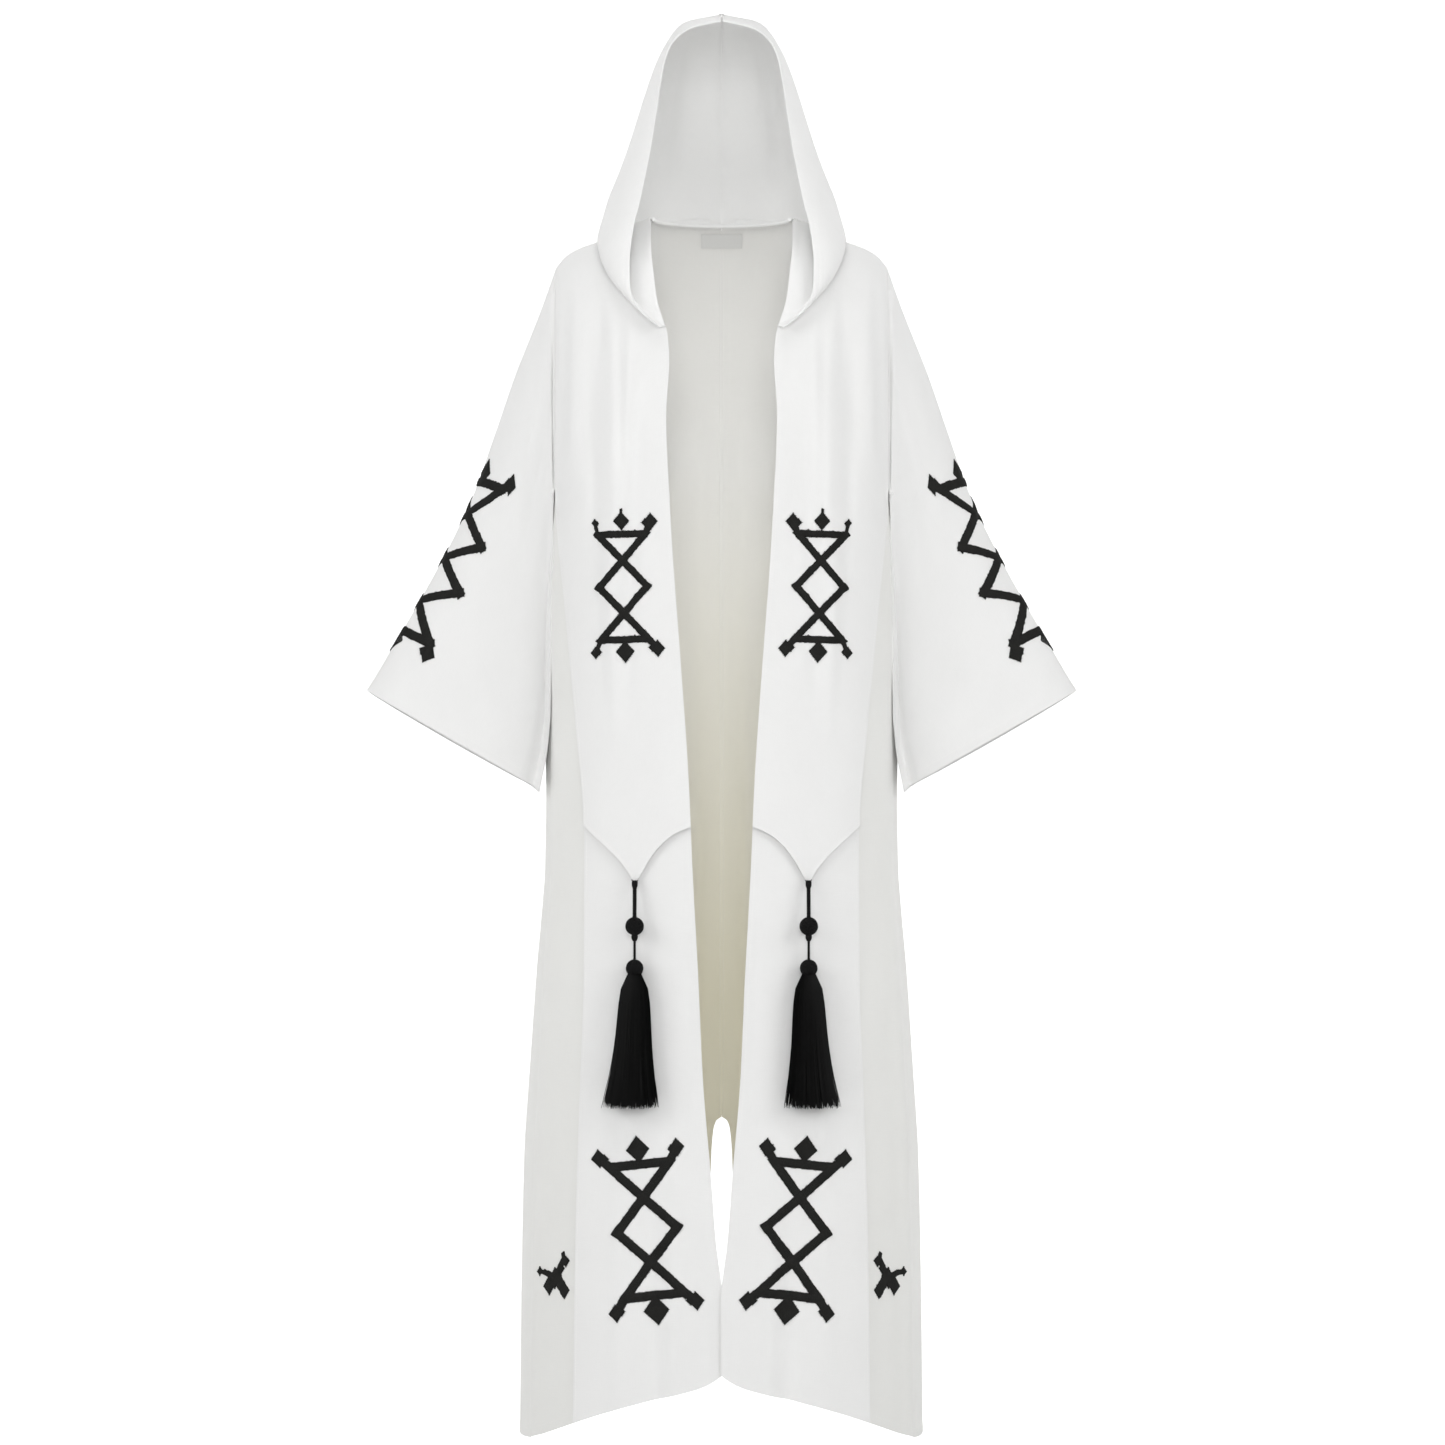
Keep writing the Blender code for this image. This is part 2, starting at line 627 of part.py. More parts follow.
def sleeve_columns():
    """Columns round the sleeve: down its front, under the arm from 1 to 0 to 1, up its back."""
    turns = [UNDERARM_TURN * step / ARMHOLE_STEPS for step in range(ARMHOLE_STEPS + 1)]
    under = spread(1.0, 0.0, UNDERARM_STEPS // 2 + 2)[1:]
    columns = [(-1, turn, None) for turn in turns]
    columns += [(-1, None, share) for share in under]
    columns += [(1, None, share) for share in under[-2::-1]]
    return columns + [(1, turn, None) for turn in turns[:0:-1]]


def armhole_point(hand, turn, under):
    """A point of the armhole seam: down the front panel's edge, under the arm, up the back's."""
    x = ARMHOLE_HALF_WIDTH + SEAM
    depth_at = front_y if hand < 0 else back_y
    if under is None:
        top = top_height(ARMHOLE_HALF_WIDTH)
        drop = (1 - math.cos(turn)) / (1 - math.cos(UNDERARM_TURN))
        z = top + (UNDERARM_HEIGHT - top) * drop
        return np.array([x, depth_at(ARMHOLE_HALF_WIDTH, z), z])
    z = UNDERARM_HEIGHT
    y = depth_at(ARMHOLE_HALF_WIDTH, z) * under
    depth = front_at(z) if hand < 0 else back_at(z)
    around = half_width_at(z) * (1 - abs(y / depth) ** ROUNDNESS) ** (1 / ROUNDNESS)
    return np.array([max(around - LAYER - GORE_CLEARANCE + UNDERARM_CLEARANCE, x), y, z])


def evenly(points, count):
    """The same line with points at even distances."""
    points = np.array(points)
    steps = np.linalg.norm(np.diff(points, axis=0), axis=1)
    along = np.concatenate([[0.0], np.cumsum(steps)])
    at = np.linspace(0.0, along[-1], count)
    return np.stack([np.interp(at, along, points[:, axis]) for axis in range(3)], axis=1)


def clear_of_body(point, to_seam):
    """Moves a point of the hood off the shoulders, straight out of the rounded section of the
    body below it, and less so near the neck seam."""
    x, y, z = point
    clearance = HOOD_SEAM_CLEARANCE + (HOOD_CLEARANCE - HOOD_SEAM_CLEARANCE) * ease(to_seam / 0.02)
    surface = front_y if y < 0 else back_y
    start = 0.0 if y < 0 else surface(x, top_height(x))
    full = surface(x, min(z, top_height(x) - SHOULDER_ROUND)) - start
    depth = (y - start) / full
    centre = top_height(x) - SHOULDER_ROUND
    rise = max((z - centre) / SHOULDER_ROUND, 0.0)
    reach = math.hypot(depth, rise)
    wanted = 1 + clearance / math.hypot(depth * SHOULDER_ROUND, rise * abs(full)) * reach
    if depth < 0 or reach >= wanted:
        return point
    grow = wanted / reach
    height = centre + (z - centre) * grow if rise > 0 else z
    return np.array([x, start + (y - start) * grow, height])


def hood(side):
    """Half of the hood. Each line goes from the free front edge, out over the side and in to
    the neck seam, lying on the shoulder below it, or to the middle seam above the nape."""
    shares = spread(0.0, 1.0, len(HOOD))
    curves = {}
    for name in HoodLine._fields:
        for axis in range(3):
            curves[name, axis] = Curve(shares, [getattr(row, name)[axis] for row in HOOD])
    grid = []
    for share in spread(0.0, 1.0, HOOD_ROWS):
        edge, turn, end = (np.array([curves[name, axis](share) for axis in range(3)])
                           for name in HoodLine._fields)
        line = []
        for angle in spread(0.0, math.pi / 2, 13):
            out = math.sin(angle)
            back = 1 - math.cos(angle)
            line.append(edge + (turn - edge) * np.array([out, back, (out + back) / 2]))
        for angle in spread(0.0, math.pi / 2, 13)[1:]:
            inwards = 1 - math.cos(angle)
            back = math.sin(angle)
            line.append(turn + (end - turn) * np.array([inwards, back, (inwards + back) / 2]))
        line = evenly(line, 40)
        for _ in range(3):
            line[1:-1] = (line[:-2] + 2 * line[1:-1] + line[2:]) / 4
        to_end = np.linalg.norm(line - line[-1], axis=1)
        line = [clear_of_body(point, distance) for point, distance in zip(line, to_end)]
        line = evenly(line, HOOD_COLUMNS)
        grid.append(line)
    grid = np.array(grid)
    for _ in range(3):
        around = grid[:-2, 1:-1] + grid[2:, 1:-1] + grid[1:-1, :-2] + grid[1:-1, 2:]
        grid[1:-1, 1:-1] = (4 * grid[1:-1, 1:-1] + around) / 8
    for line in grid:
        for col in range(HOOD_COLUMNS):
            line[col] = clear_of_body(line[col], np.linalg.norm(line[col] - line[-1]))
    grid[:, :, 0] = np.maximum(grid[:, :, 0], SEAM / 2)
    return grid


def neck_label(back):
    """Blank tape sewn inside the back neck, across the middle seam. Its places are rows and
    columns of the back panel, and their mirror images."""
    facing = normals(back, -1)
    rows = []
    for row in LABEL_ROWS:
        line = []
        for col in LABEL_COLUMNS:
            base, normal = on_grid(back, facing, (row, col), False)
            line.append(base - normal * (WALL + 2 * SEAM))
        line[-1][0] = 0.0
        mirrored = [point * np.array([-1, 1, 1]) for point in line[-2::-1]]
        rows.append(line + mirrored)
    wall("neck_label", np.array(rows), LABEL_TAPE, 1, 1, thickness=LABEL_THICKNESS)


def stroke(start, end, band):
    """A straight band between two places, with square ends that run half a band past them."""
    start = Vector(start)
    end = Vector(end)
    along = (end - start).normalized() * band / 2
    across = Vector((-along.y, along.x))
    return [start - along - across, end + along - across, end + along + across, start - along + across]


def diamond(centre, half, stretch=1.0):
    x, y = centre
    return [Vector((x - half, y)), Vector((x, y - half * stretch)), Vector((x + half, y)),
            Vector((x, y + half * stretch))]


def crossed_figure(m):
    """Two zigzag bands that cross on the middle line, barred and hooked at both ends, with a
    diamond beyond each bar. Places are across and up from the figure's centre."""
    levels = spread(-m.crossing, m.crossing, m.crossings)
    middles = [(low + high) / 2 for low, high in zip(levels, levels[1:])]
    shapes = []
    for hand in (-1, 1):
        line = [(hand * m.half_width, -m.corner)]
        across = hand
        for level, middle in zip(levels, middles + [m.corner]):
            across = -across
            line.append((0.0, level))
            line.append((across * m.half_width, middle))
        shapes += [stroke(start, end, m.band) for start, end in zip(line, line[1:])]
    for up in (-1, 1):
        shapes.append(stroke((-m.half_width, up * m.corner), (m.half_width, up * m.corner), m.band))
        shapes.append(diamond((0.0, up * m.diamond_up), m.diamond, 1.15))
        for hand in (-1, 1):
            corner = (hand * m.half_width, up * m.corner)
            knob = (hand * m.knob_out, up * m.knob_up)
            shapes.append(stroke(corner, knob, m.band * 0.8))
            hook = (hand * (m.knob_out - m.band * 0.5), up * (m.knob_up + m.band * 0.1))
            shapes.append(diamond(hook, m.band * 0.95))
    return shapes


def gore_figure(m):
    """End of the same figure as it shows on the gore: a diamond with three hooked arms."""
    return [
        diamond((0.0, 0.0), m.diamond * 0.8, 1.1),
        stroke((0.0, 0.0), (0.013, 0.020), m.band * 0.5),
        stroke((0.0, 0.0), (-0.011, 0.014), m.band * 0.5),
        stroke((0.0, 0.0), (-0.008, -0.021), m.band * 0.6),
        diamond((0.013, 0.022), m.band * 0.45),
        diamond((-0.012, 0.0155), m.band * 0.45),
    ]


def union_outline(shapes):
    """Loops round the figure that the overlapping shapes make together, without the points
    that lie on its straight stretches."""
    corners = [corner for shape in shapes for corner in shape]
    firsts = np.cumsum([0] + [len(shape) for shape in shapes])
    outlines = [list(range(first, last)) for first, last in zip(firsts, firsts[1:])]
    places, _, pieces, _, _, sources = delaunay_2d_cdt(corners, [], outlines, 0, 1e-6, True)
    directed = set()
    for piece, source in zip(pieces, sources):
        if source:
            directed |= set(zip(piece, piece[1:] + piece[:1]))
    follow = {start: end for start, end in directed if (end, start) not in directed}
    loops = []
    while follow:
        start = min(follow)
        loop = []
        while start in follow:
            loop.append(places[start])
            start = follow.pop(start)
        apart = [at for before, at in zip(loop[-1:] + loop[:-1], loop) if (at - before).length > NOTCH]
        bent = []
        for before, at, after in zip(apart[-1:] + apart[:-1], apart, apart[1:] + apart[:1]):
            if abs((at - before).normalized().cross((after - at).normalized())) > 0.05:
                bent.append(at)
        loops.append(bent)
    return loops


def inside(place, loops):
    """Whether a place is in the figure, by how many of its edges lie to one side."""
    crossings = 0
    for loop in loops:
        for start, end in zip(loop, loop[1:] + loop[:1]):
            if (start.y > place.y) != (end.y > place.y):
                at = start.x + (end.x - start.x) * (place.y - start.y) / (end.y - start.y)
                crossings += at > place.x
    return crossings % 2 == 1


def lay_on(name, grid, shapes, place, side, out, ring=False, longest=0.05):
    """Bands laid on a panel. The figure is cut along the panel's own rows and columns, so
    that every facet of the band lies over one facet of the cloth, a little out of it."""
    corners = []
    lines = []
    outlines = []
    for loop in union_outline(shapes):
        first = len(corners)
        for start, end in zip(loop, loop[1:] + loop[:1]):
            cuts = max(1, round((end - start).length / longest))
            for cut in range(cuts):
                at = start.lerp(end, cut / cuts)
                corners.append(Vector(place(at.x, at.y)))
        outlines.append(corners[first:])
        lines += [(index, index + 1) for index in range(first, len(corners) - 1)]
        lines.append((len(corners) - 1, first))
    low = [min(corner[axis] for corner in corners) for axis in (0, 1)]
    high = [max(corner[axis] for corner in corners) for axis in (0, 1)]
    for axis in (0, 1):
        for level in range(math.ceil(low[axis]), math.floor(high[axis]) + 1):
            ends = []
            for limit in (low[1 - axis] - 0.1, high[1 - axis] + 0.1):
                end = [0.0, 0.0]
                end[axis] = level
                end[1 - axis] = limit
                ends.append(len(corners))
                corners.append(Vector(end))
            lines.append(ends)
    places, _, pieces, _, _, _ = delaunay_2d_cdt(corners, lines, [], 0, 1e-4, False)
    kept = []
    for piece in pieces:
        middle = sum((places[corner] for corner in piece), Vector((0, 0))) / 3
        if inside(middle, outlines):
            kept.append(list(piece))
    used = sorted({corner for piece in kept for corner in piece})
    renumber = {corner: index for index, corner in enumerate(used)}
    kept = [[renumber[corner] for corner in piece] for piece in kept]
    facing = normals(grid, out, ring)
    lower = []
    upper = []
    for corner in used:
        base, normal = on_grid(grid, facing, places[corner], ring)
        lower.append(base + normal * BAND_LIFT)
        upper.append(base + normal * (BAND_LIFT + BAND_THICKNESS))
    count = len(used)
    sides = {}
    for piece in kept:
        for start, end in zip(piece, piece[1:] + piece[:1]):
            sides[start, end] = True
    rim = [(start, end) for start, end in sides if (end, start) not in sides]
    faces = kept + [[corner + count for corner in piece[::-1]] for piece in kept]
    faces += [[end, start, start + count, end + count] for start, end in rim]
    return add_object(name, [list(p) for p in lower + upper], faces, EMBROIDERY, side)


def on_grid(grid, facing, place, ring):
    """Point and normal at a fractional row and column."""
    row, col = place
    rows, cols = grid.shape[:2]
    row_start = min(max(int(math.floor(row + 1e-6)), 0), rows - 2)
    col_start = int(math.floor(col + 1e-6))
    if not ring:
        col_start = min(max(col_start, 0), cols - 2)
    down = row - row_start
    over = col - col_start
    values = []
    for source in (grid, facing):
        a = source[row_start, col_start % cols]
        b = source[row_start, (col_start + 1) % cols]
        c = source[row_start + 1, col_start % cols]
        d = source[row_start + 1, (col_start + 1) % cols]
        values.append((a * (1 - over) + b * over) * (1 - down) + (c * (1 - over) + d * over) * down)
    normal = values[1] / np.linalg.norm(values[1])
    return values[0], normal


def around_tube(grid):
    """Finds the row and column of a place given by its distance round the tube from the ridge
    and down along it."""
    rows, cols = grid.shape[:2]
    down = np.concatenate([[0.0], np.cumsum(np.linalg.norm(np.diff(grid[:, 0], axis=0), axis=1))])
    reach = cols // 2
    order = np.arange(-reach, reach + 1)
    arcs = []
    for row in range(rows):
        ring = grid[row, order % cols]
        along = np.concatenate([[0.0], np.cumsum(np.linalg.norm(np.diff(ring, axis=0), axis=1))])
        arcs.append(along - along[reach])

    def place(across, along):
        row = float(np.interp(along, down, range(rows)))
        start = min(int(row), rows - 2)
        share = row - start
        cols_here = [np.interp(across, arcs[start + step], order) for step in (0, 1)]
        return row, float(cols_here[0] * (1 - share) + cols_here[1] * share)

    return place


def along_rows(grid):
    """Finds the row and column of a place given by its distance across from the seam side of a
    piece and its height."""
    rows, cols = grid.shape[:2]

    def place(across, height):
        row = float(np.interp(-height, -grid[:, cols // 2, 2], range(rows)))
        start = min(int(row), rows - 2)
        found = []
        for step in (0, 1):
            line = grid[start + step]
            along = np.concatenate([[0.0], np.cumsum(np.linalg.norm(np.diff(line, axis=0), axis=1))])
            found.append(np.interp(across, along, range(cols)))
        share = row - start
        return row, float(found[0] * (1 - share) + found[1] * share)

    return place


def tilted(place, centre, tilt=0.0):
    """Puts a figure's own across and up at a centre, leaned outwards at its top by tilt."""
    def moved_place(across, up):
        x = centre[0] + across * math.cos(tilt) + up * math.sin(tilt)
        z = centre[1] - across * math.sin(tilt) + up * math.cos(tilt)
        return place(x, z)
    return moved_place


def lathe(name, profile, centre, finish, side, sectors=12):
    """A turned solid about a vertical line. profile lists radius and height from top to foot."""
    points = []
    for radius, height in profile:
        for sector in range(sectors):
            turn = 2 * math.pi * sector / sectors
            points.append((centre[0] + radius * math.cos(turn),
                           centre[1] + radius * math.sin(turn), height))
    faces = [list(range(sectors))]
    for ring in range(len(profile) - 1):
        for sector in range(sectors):
            after = (sector + 1) % sectors
            faces.append([ring * sectors + sector, ring * sectors + after,
                          (ring + 1) * sectors + after, (ring + 1) * sectors + sector])
    last = (len(profile) - 1) * sectors
    faces.append([last + sector for sector in range(sectors)][::-1])
    return add_object(name, points, faces, finish, side)


def ball(radius, height, end, count):
    """Profile of a ball from the flat round its cord down to an angle from its top."""
    turns = spread(CORD_HOLE_TURN, end, count)
    return [(radius * math.sin(turn), height + radius * math.cos(turn)) for turn in turns]


def tassel_cord(name, hang, bead, side):
    """Twisted cord from the tip of the upper front down to the bead."""
    sectors = 8
    top = Vector((OGEE_TIP_ACROSS, hang, OGEE_TIP_HEIGHT + 0.004))
    foot = Vector((OGEE_TIP_ACROSS, bead, BEAD_HEIGHT + BEAD_RADIUS * math.cos(CORD_HOLE_TURN) + SEAM))
    points = []
    levels = ((0.0, 1.1), (0.12, 1.35), (0.24, 1.0), (0.6, 0.9), (1.0, 1.0))
    for share, width in levels:
        centre = top.lerp(foot, share)
        for sector in range(sectors):
            turn = 2 * math.pi * sector / sectors
            points.append((centre.x + CORD_RADIUS * width * math.cos(turn),
                           centre.y + CORD_RADIUS * width * math.sin(turn), centre.z))
    faces = [list(range(sectors))]
    for ring in range(len(levels) - 1):
        for sector in range(sectors):
            after = (sector + 1) % sectors
            faces.append([ring * sectors + sector, ring * sectors + after,
                          (ring + 1) * sectors + after, (ring + 1) * sectors + sector])
    last = (len(levels) - 1) * sectors
    faces.append([last + sector for sector in range(sectors)][::-1])
    return add_object(name, points, faces, TASSEL_YARN, side)


def tassel_skirt(name, head_y, end_y, side):
    """Tassel head with its locks of yarn. The foot of the head is a disc of small faces, and
    each face is drawn down into one lock, which stands apart from the others."""
    form = bmesh.new()
    profile = ball(HEAD_RADIUS, HEAD_HEIGHT, HEAD_FOOT_TURN, 5)
    profile += [(SKIRT_ROOT_RADIUS * 0.85, SKIRT_ROOT_HEIGHT + 0.005)]
    profile += [(SKIRT_ROOT_RADIUS * share, SKIRT_ROOT_HEIGHT) for share in (1.0, 0.68, 0.34)]
    rings = []
    for radius, height in profile:
        ring = []
        for sector in range(TASSEL_SECTORS):
            turn = 2 * math.pi * sector / TASSEL_SECTORS
            ring.append(form.verts.new((OGEE_TIP_ACROSS + radius * math.cos(turn),
                                        head_y + radius * math.sin(turn) * 0.9, height)))
        rings.append(ring)
    form.faces.new(rings[0])
    roots = []
    for level, (upper, lower) in enumerate(zip(rings, rings[1:])):
        for sector in range(TASSEL_SECTORS):
            after = (sector + 1) % TASSEL_SECTORS
            face = form.faces.new([upper[sector], upper[after], lower[after], lower[sector]])
            if level >= len(rings) - 3:
                roots.append(face)
    centre = form.verts.new((OGEE_TIP_ACROSS, head_y, SKIRT_ROOT_HEIGHT))
    for sector in range(TASSEL_SECTORS):
        after = (sector + 1) % TASSEL_SECTORS
        roots.append(form.faces.new([rings[-1][sector], rings[-1][after], centre]))
    bmesh.ops.recalc_face_normals(form, faces=form.faces)
    bmesh.ops.inset_individual(form, faces=roots, thickness=0.0005)
    drawn = bmesh.ops.extrude_discrete_faces(form, faces=roots)["faces"]
    grow = SKIRT_END_RADIUS / SKIRT_ROOT_RADIUS
    for number, face in enumerate(drawn):
        middle = face.calc_center_median()
        out_x = (middle.x - OGEE_TIP_ACROSS) * grow
        out_y = (middle.y - head_y) * grow * SKIRT_FLATNESS
        uneven = 0.004 * math.sin(number * 2.4)
        end = Vector((OGEE_TIP_ACROSS + out_x, end_y + out_y, SKIRT_END_HEIGHT + uneven))
        for corner in face.verts:
            spread_out = corner.co - middle
            spread_out.x *= 1.35
            spread_out.y *= 0.75
            corner.co = end + spread_out
    mesh = bpy.data.meshes.new(name)
    form.to_mesh(mesh)
    form.free()
    points = [tuple(v.co) for v in mesh.vertices]
    faces = [list(p.vertices) for p in mesh.polygons]
    bpy.data.meshes.remove(mesh)
    return add_object(name, points, faces, TASSEL_YARN, side)


def tassel(label, side, upper, lower):
    """Cord, bead, thin link and tassel, hanging from the tip against the lower front."""
    def cloth_y(panel, grid, x, z):
        point, _ = on_grid(grid, normals(grid, 1), panel.place(x, z), False)
        return point[1]

    upper_panel, upper_grid = upper
    lower_panel, lower_grid = lower
    tip_y = cloth_y(upper_panel, upper_grid, OGEE_TIP_ACROSS, OGEE_TIP_HEIGHT + 0.002)
    hang = tip_y - CORD_RADIUS * 1.1 - 2 * SEAM
    head_cloth = cloth_y(lower_panel, lower_grid, OGEE_TIP_ACROSS, SKIRT_ROOT_HEIGHT)
    bead_y = head_cloth - SKIRT_ROOT_RADIUS - 2 * SEAM
    end_depth = SKIRT_END_RADIUS * SKIRT_FLATNESS + 0.004
    end_y = cloth_y(lower_panel, lower_grid, OGEE_TIP_ACROSS, SKIRT_END_HEIGHT) - end_depth
    tassel_cord("tassel_cord_" + label, hang, bead_y, side)
    lathe("tassel_bead_" + label, ball(BEAD_RADIUS, BEAD_HEIGHT, math.pi - CORD_HOLE_TURN, 7),
          (OGEE_TIP_ACROSS, bead_y), TASSEL_YARN, side)
    bead_foot = BEAD_HEIGHT - BEAD_RADIUS * math.cos(CORD_HOLE_TURN) - SEAM
    head_top = HEAD_HEIGHT + HEAD_RADIUS * math.cos(CORD_HOLE_TURN) + SEAM
    link = [(0.0026, bead_foot), (0.0036, bead_foot - 0.003), (0.0026, bead_foot - 0.007),
            (0.0016, bead_foot - 0.009), (0.0016, head_top)]
    lathe("tassel_link_" + label, link, (OGEE_TIP_ACROSS, bead_y), TASSEL_YARN, side, sectors=8)
    tassel_skirt("tassel_" + label, bead_y, min(end_y, bead_y), side)


def main():
    for old in list(bpy.data.objects):
        bpy.data.objects.remove(old)
    neck_label(back_panel(1))
    for label, side in SIDES:
        upper = upper_front_panel(side)
        lower = lower_front_panel(side)
        lower_grid = moved(lower.points, -LAYER, 1)
        wall("front_upper_" + label, upper.points, MUSLIN, side, 1, square=((0, None, 1),))
        wall("front_lower_" + label, lower_grid, MUSLIN, side, 1)
        back = back_panel(side)
        wall("back_" + label, back, MUSLIN, side, -1, square=((0, None, 1), (None, 0, 0)))
        gore = side_gore()
        wall("side_gore_" + label, gore, MUSLIN_SIDE, side, 1)
        tube = sleeve(side)
        under = slice(ARMHOLE_STEPS + 1, ARMHOLE_STEPS + 1 + UNDERARM_STEPS)
        wall("sleeve_" + label, tube, MUSLIN, side, -1, ring=True,
             square=((0, slice(0, under.start), 0), (0, under, 2), (0, slice(under.stop, None), 0)))
        wall("hood_" + label, hood(side), MUSLIN, side, -1, square=((None, -1, 0),))
        lay_on("motif_upper_" + label, upper.points, crossed_figure(UPPER_MOTIF),
               tilted(upper.place, UPPER_MOTIF_PLACE), side, 1)
        lay_on("motif_lower_" + label, lower_grid, crossed_figure(LOWER_MOTIF),
               tilted(lower.place, LOWER_MOTIF_PLACE, LOWER_MOTIF_TILT), side, 1)
        lay_on("motif_sleeve_" + label, tube, crossed_figure(SLEEVE_MOTIF),
               tilted(around_tube(tube), (0.0, SLEEVE_MOTIF_DOWN)), side, -1, ring=True)
        gore_place = (GORE_OVERLAP + GORE_MOTIF_OUT, GORE_MOTIF_HEIGHT)
        lay_on("motif_gore_" + label, gore, gore_figure(LOWER_MOTIF),
               tilted(along_rows(gore), gore_place), side, 1)
        tassel(label, side, (upper, upper.points), (lower, lower_grid))


main()
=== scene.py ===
"""Muslin kaftan: hooded, open in front, with pointed front hems, dark figures and tassels.

Metres, +Z up. The front faces -Y and the wearer's left is +X. Every cloth piece is a grid of
points, worked out from the garment's girths, edges and creases, and made into a thin shell.
"""

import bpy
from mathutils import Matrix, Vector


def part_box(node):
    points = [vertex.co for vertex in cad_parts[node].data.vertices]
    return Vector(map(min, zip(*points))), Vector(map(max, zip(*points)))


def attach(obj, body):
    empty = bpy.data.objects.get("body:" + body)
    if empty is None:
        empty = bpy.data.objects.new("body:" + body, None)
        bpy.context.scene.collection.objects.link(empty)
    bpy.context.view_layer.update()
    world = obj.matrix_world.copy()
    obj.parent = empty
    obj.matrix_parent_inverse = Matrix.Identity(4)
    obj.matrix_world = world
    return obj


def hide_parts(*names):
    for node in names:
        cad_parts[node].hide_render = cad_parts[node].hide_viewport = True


bl_info = {
    "name": "Muslin Kaftan",
    "version": (1, 0, 0),
    "blender": (4, 5, 0),
    "location": "View3D > Sidebar > Kaftan",
    "description": "Builds a hooded open-front muslin kaftan in its worn form",
    "category": "Add Mesh",
}

import math
from collections import namedtuple

import bpy
import numpy as np
from mathutils import Vector

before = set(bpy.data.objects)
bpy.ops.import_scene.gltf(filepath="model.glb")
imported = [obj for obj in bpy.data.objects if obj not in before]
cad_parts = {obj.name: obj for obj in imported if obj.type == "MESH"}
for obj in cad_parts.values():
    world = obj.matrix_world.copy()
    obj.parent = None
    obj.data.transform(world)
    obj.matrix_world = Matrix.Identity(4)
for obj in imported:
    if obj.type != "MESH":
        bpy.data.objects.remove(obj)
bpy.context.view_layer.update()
SIDES = (("left", 1), ("right", -1))


def table(columns, *rows):
    """Rows of numbers with named columns."""
    row = namedtuple("Row", columns)
    return tuple(row(*values) for values in rows)


# Body of the garment. Half widths and distances across are from the middle, on either side.
ROUNDNESS = 2.7
SHOULDER_ROUND = 0.12
NECK_HALF_WIDTH = 0.085
NECK_SIDE_HEIGHT = 0.026
NAPE_HEIGHT = 0.0245
NAPE_DEPTH = 0.070
ARMHOLE_HALF_WIDTH = 0.198
UNDERARM_HEIGHT = -0.300
HEM_CENTRE_HEIGHT = -1.356
HEM_PEAK = 0.016
HEM_PEAK_WIDTH = 0.018
HEM_SLOPE = 0.10
HEM_CURVE = 0.83
GORE_OVERLAP = 0.022
LOWER_FRONT_TOP = -0.655
SEAM = 0.0003
LAYER = 0.0021
GORE_CLEARANCE = 0.0012

GIRTHS = table(
    "height half_width front back",
    (0.030, 0.2085, 0.112, 0.100),
    (-0.120, 0.2085, 0.120, 0.106),
    (-0.300, 0.2085, 0.126, 0.110),
    (-0.450, 0.2085, 0.126, 0.106),
    (-0.640, 0.2100, 0.128, 0.112),
    (-0.750, 0.2160, 0.131, 0.120),
    (-0.875, 0.2258, 0.135, 0.128),
    (-1.000, 0.2318, 0.140, 0.136),
    (-1.100, 0.2368, 0.144, 0.142),
    (-1.256, 0.2400, 0.150, 0.150),
    (-1.440, 0.2420, 0.156, 0.156),
)

# Top line of the shoulder, from the neck out
SHOULDER_LINE = table(
    "across height",
    (0.085, 0.026),
    (0.115, 0.0145),
    (0.150, 0.000),
    (0.172, -0.008),
    (0.188, -0.018),
    (0.198, -0.030),
)

# Free front edge, from the side of the neck down to the hem
FRONT_EDGE = table(
    "height across",
    (0.026, 0.0850),
    (-0.028, 0.0825),
    (-0.080, 0.0755),
    (-0.122, 0.0635),
    (-0.150, 0.0615),
    (-0.215, 0.0652),
    (-0.317, 0.0610),
    (-0.385, 0.0570),
    (-0.520, 0.0470),
    (-0.644, 0.0387),
    (-0.742, 0.0346),
    (-0.866, 0.0281),
    (-0.996, 0.0222),
    (-1.108, 0.0125),
    (-1.183, 0.0068),
    (-1.245, 0.0001),
    (-1.430, 0.0001),
)

# Line where the front and back panels end on the side gore
SIDE_SEAM = table(
    "height across",
    (0.000, 0.1980),
    (-0.300, 0.1980),
    (-0.450, 0.1850),
    (-0.580, 0.1725),
    (-0.700, 0.1630),
    (-0.870, 0.1635),
    (-1.040, 0.1690),
    (-1.210, 0.1735),
    (-1.430, 0.1760),
)

# Slit at the foot of the centre back seam, half its width
BACK_SLIT = table(
    "height across",
    (0.030, 0.00015),
    (-1.060, 0.00015),
    (-1.064, 0.0060),
    (-1.076, 0.0100),
    (-1.100, 0.0122),
    (-1.180, 0.0150),
    (-1.430, 0.0300),
)

# Pointed hem of the upper front, from its tip towards the opening and towards the side
OGEE_TIP_ACROSS = 0.1020
OGEE_TIP_HEIGHT = -0.766
OGEE_LIFT = 0.003
OGEE_LIFT_START = 0.85
OGEE_LIFT_LENGTH = 0.15
OGEE_TO_OPENING = table(
    "out rise",
    (0.0000, 0.0000),
    (0.0060, 0.0094),
    (0.0153, 0.0260),
    (0.0282, 0.0435),
    (0.0457, 0.0587),
    (0.0640, 0.0670),
)
OGEE_TO_SIDE = table(
    "out rise",
    (0.0000, 0.0000),
    (0.0058, 0.0106),
    (0.0187, 0.0282),
    (0.0340, 0.0435),
    (0.0492, 0.0575),
    (0.0660, 0.0730),
)

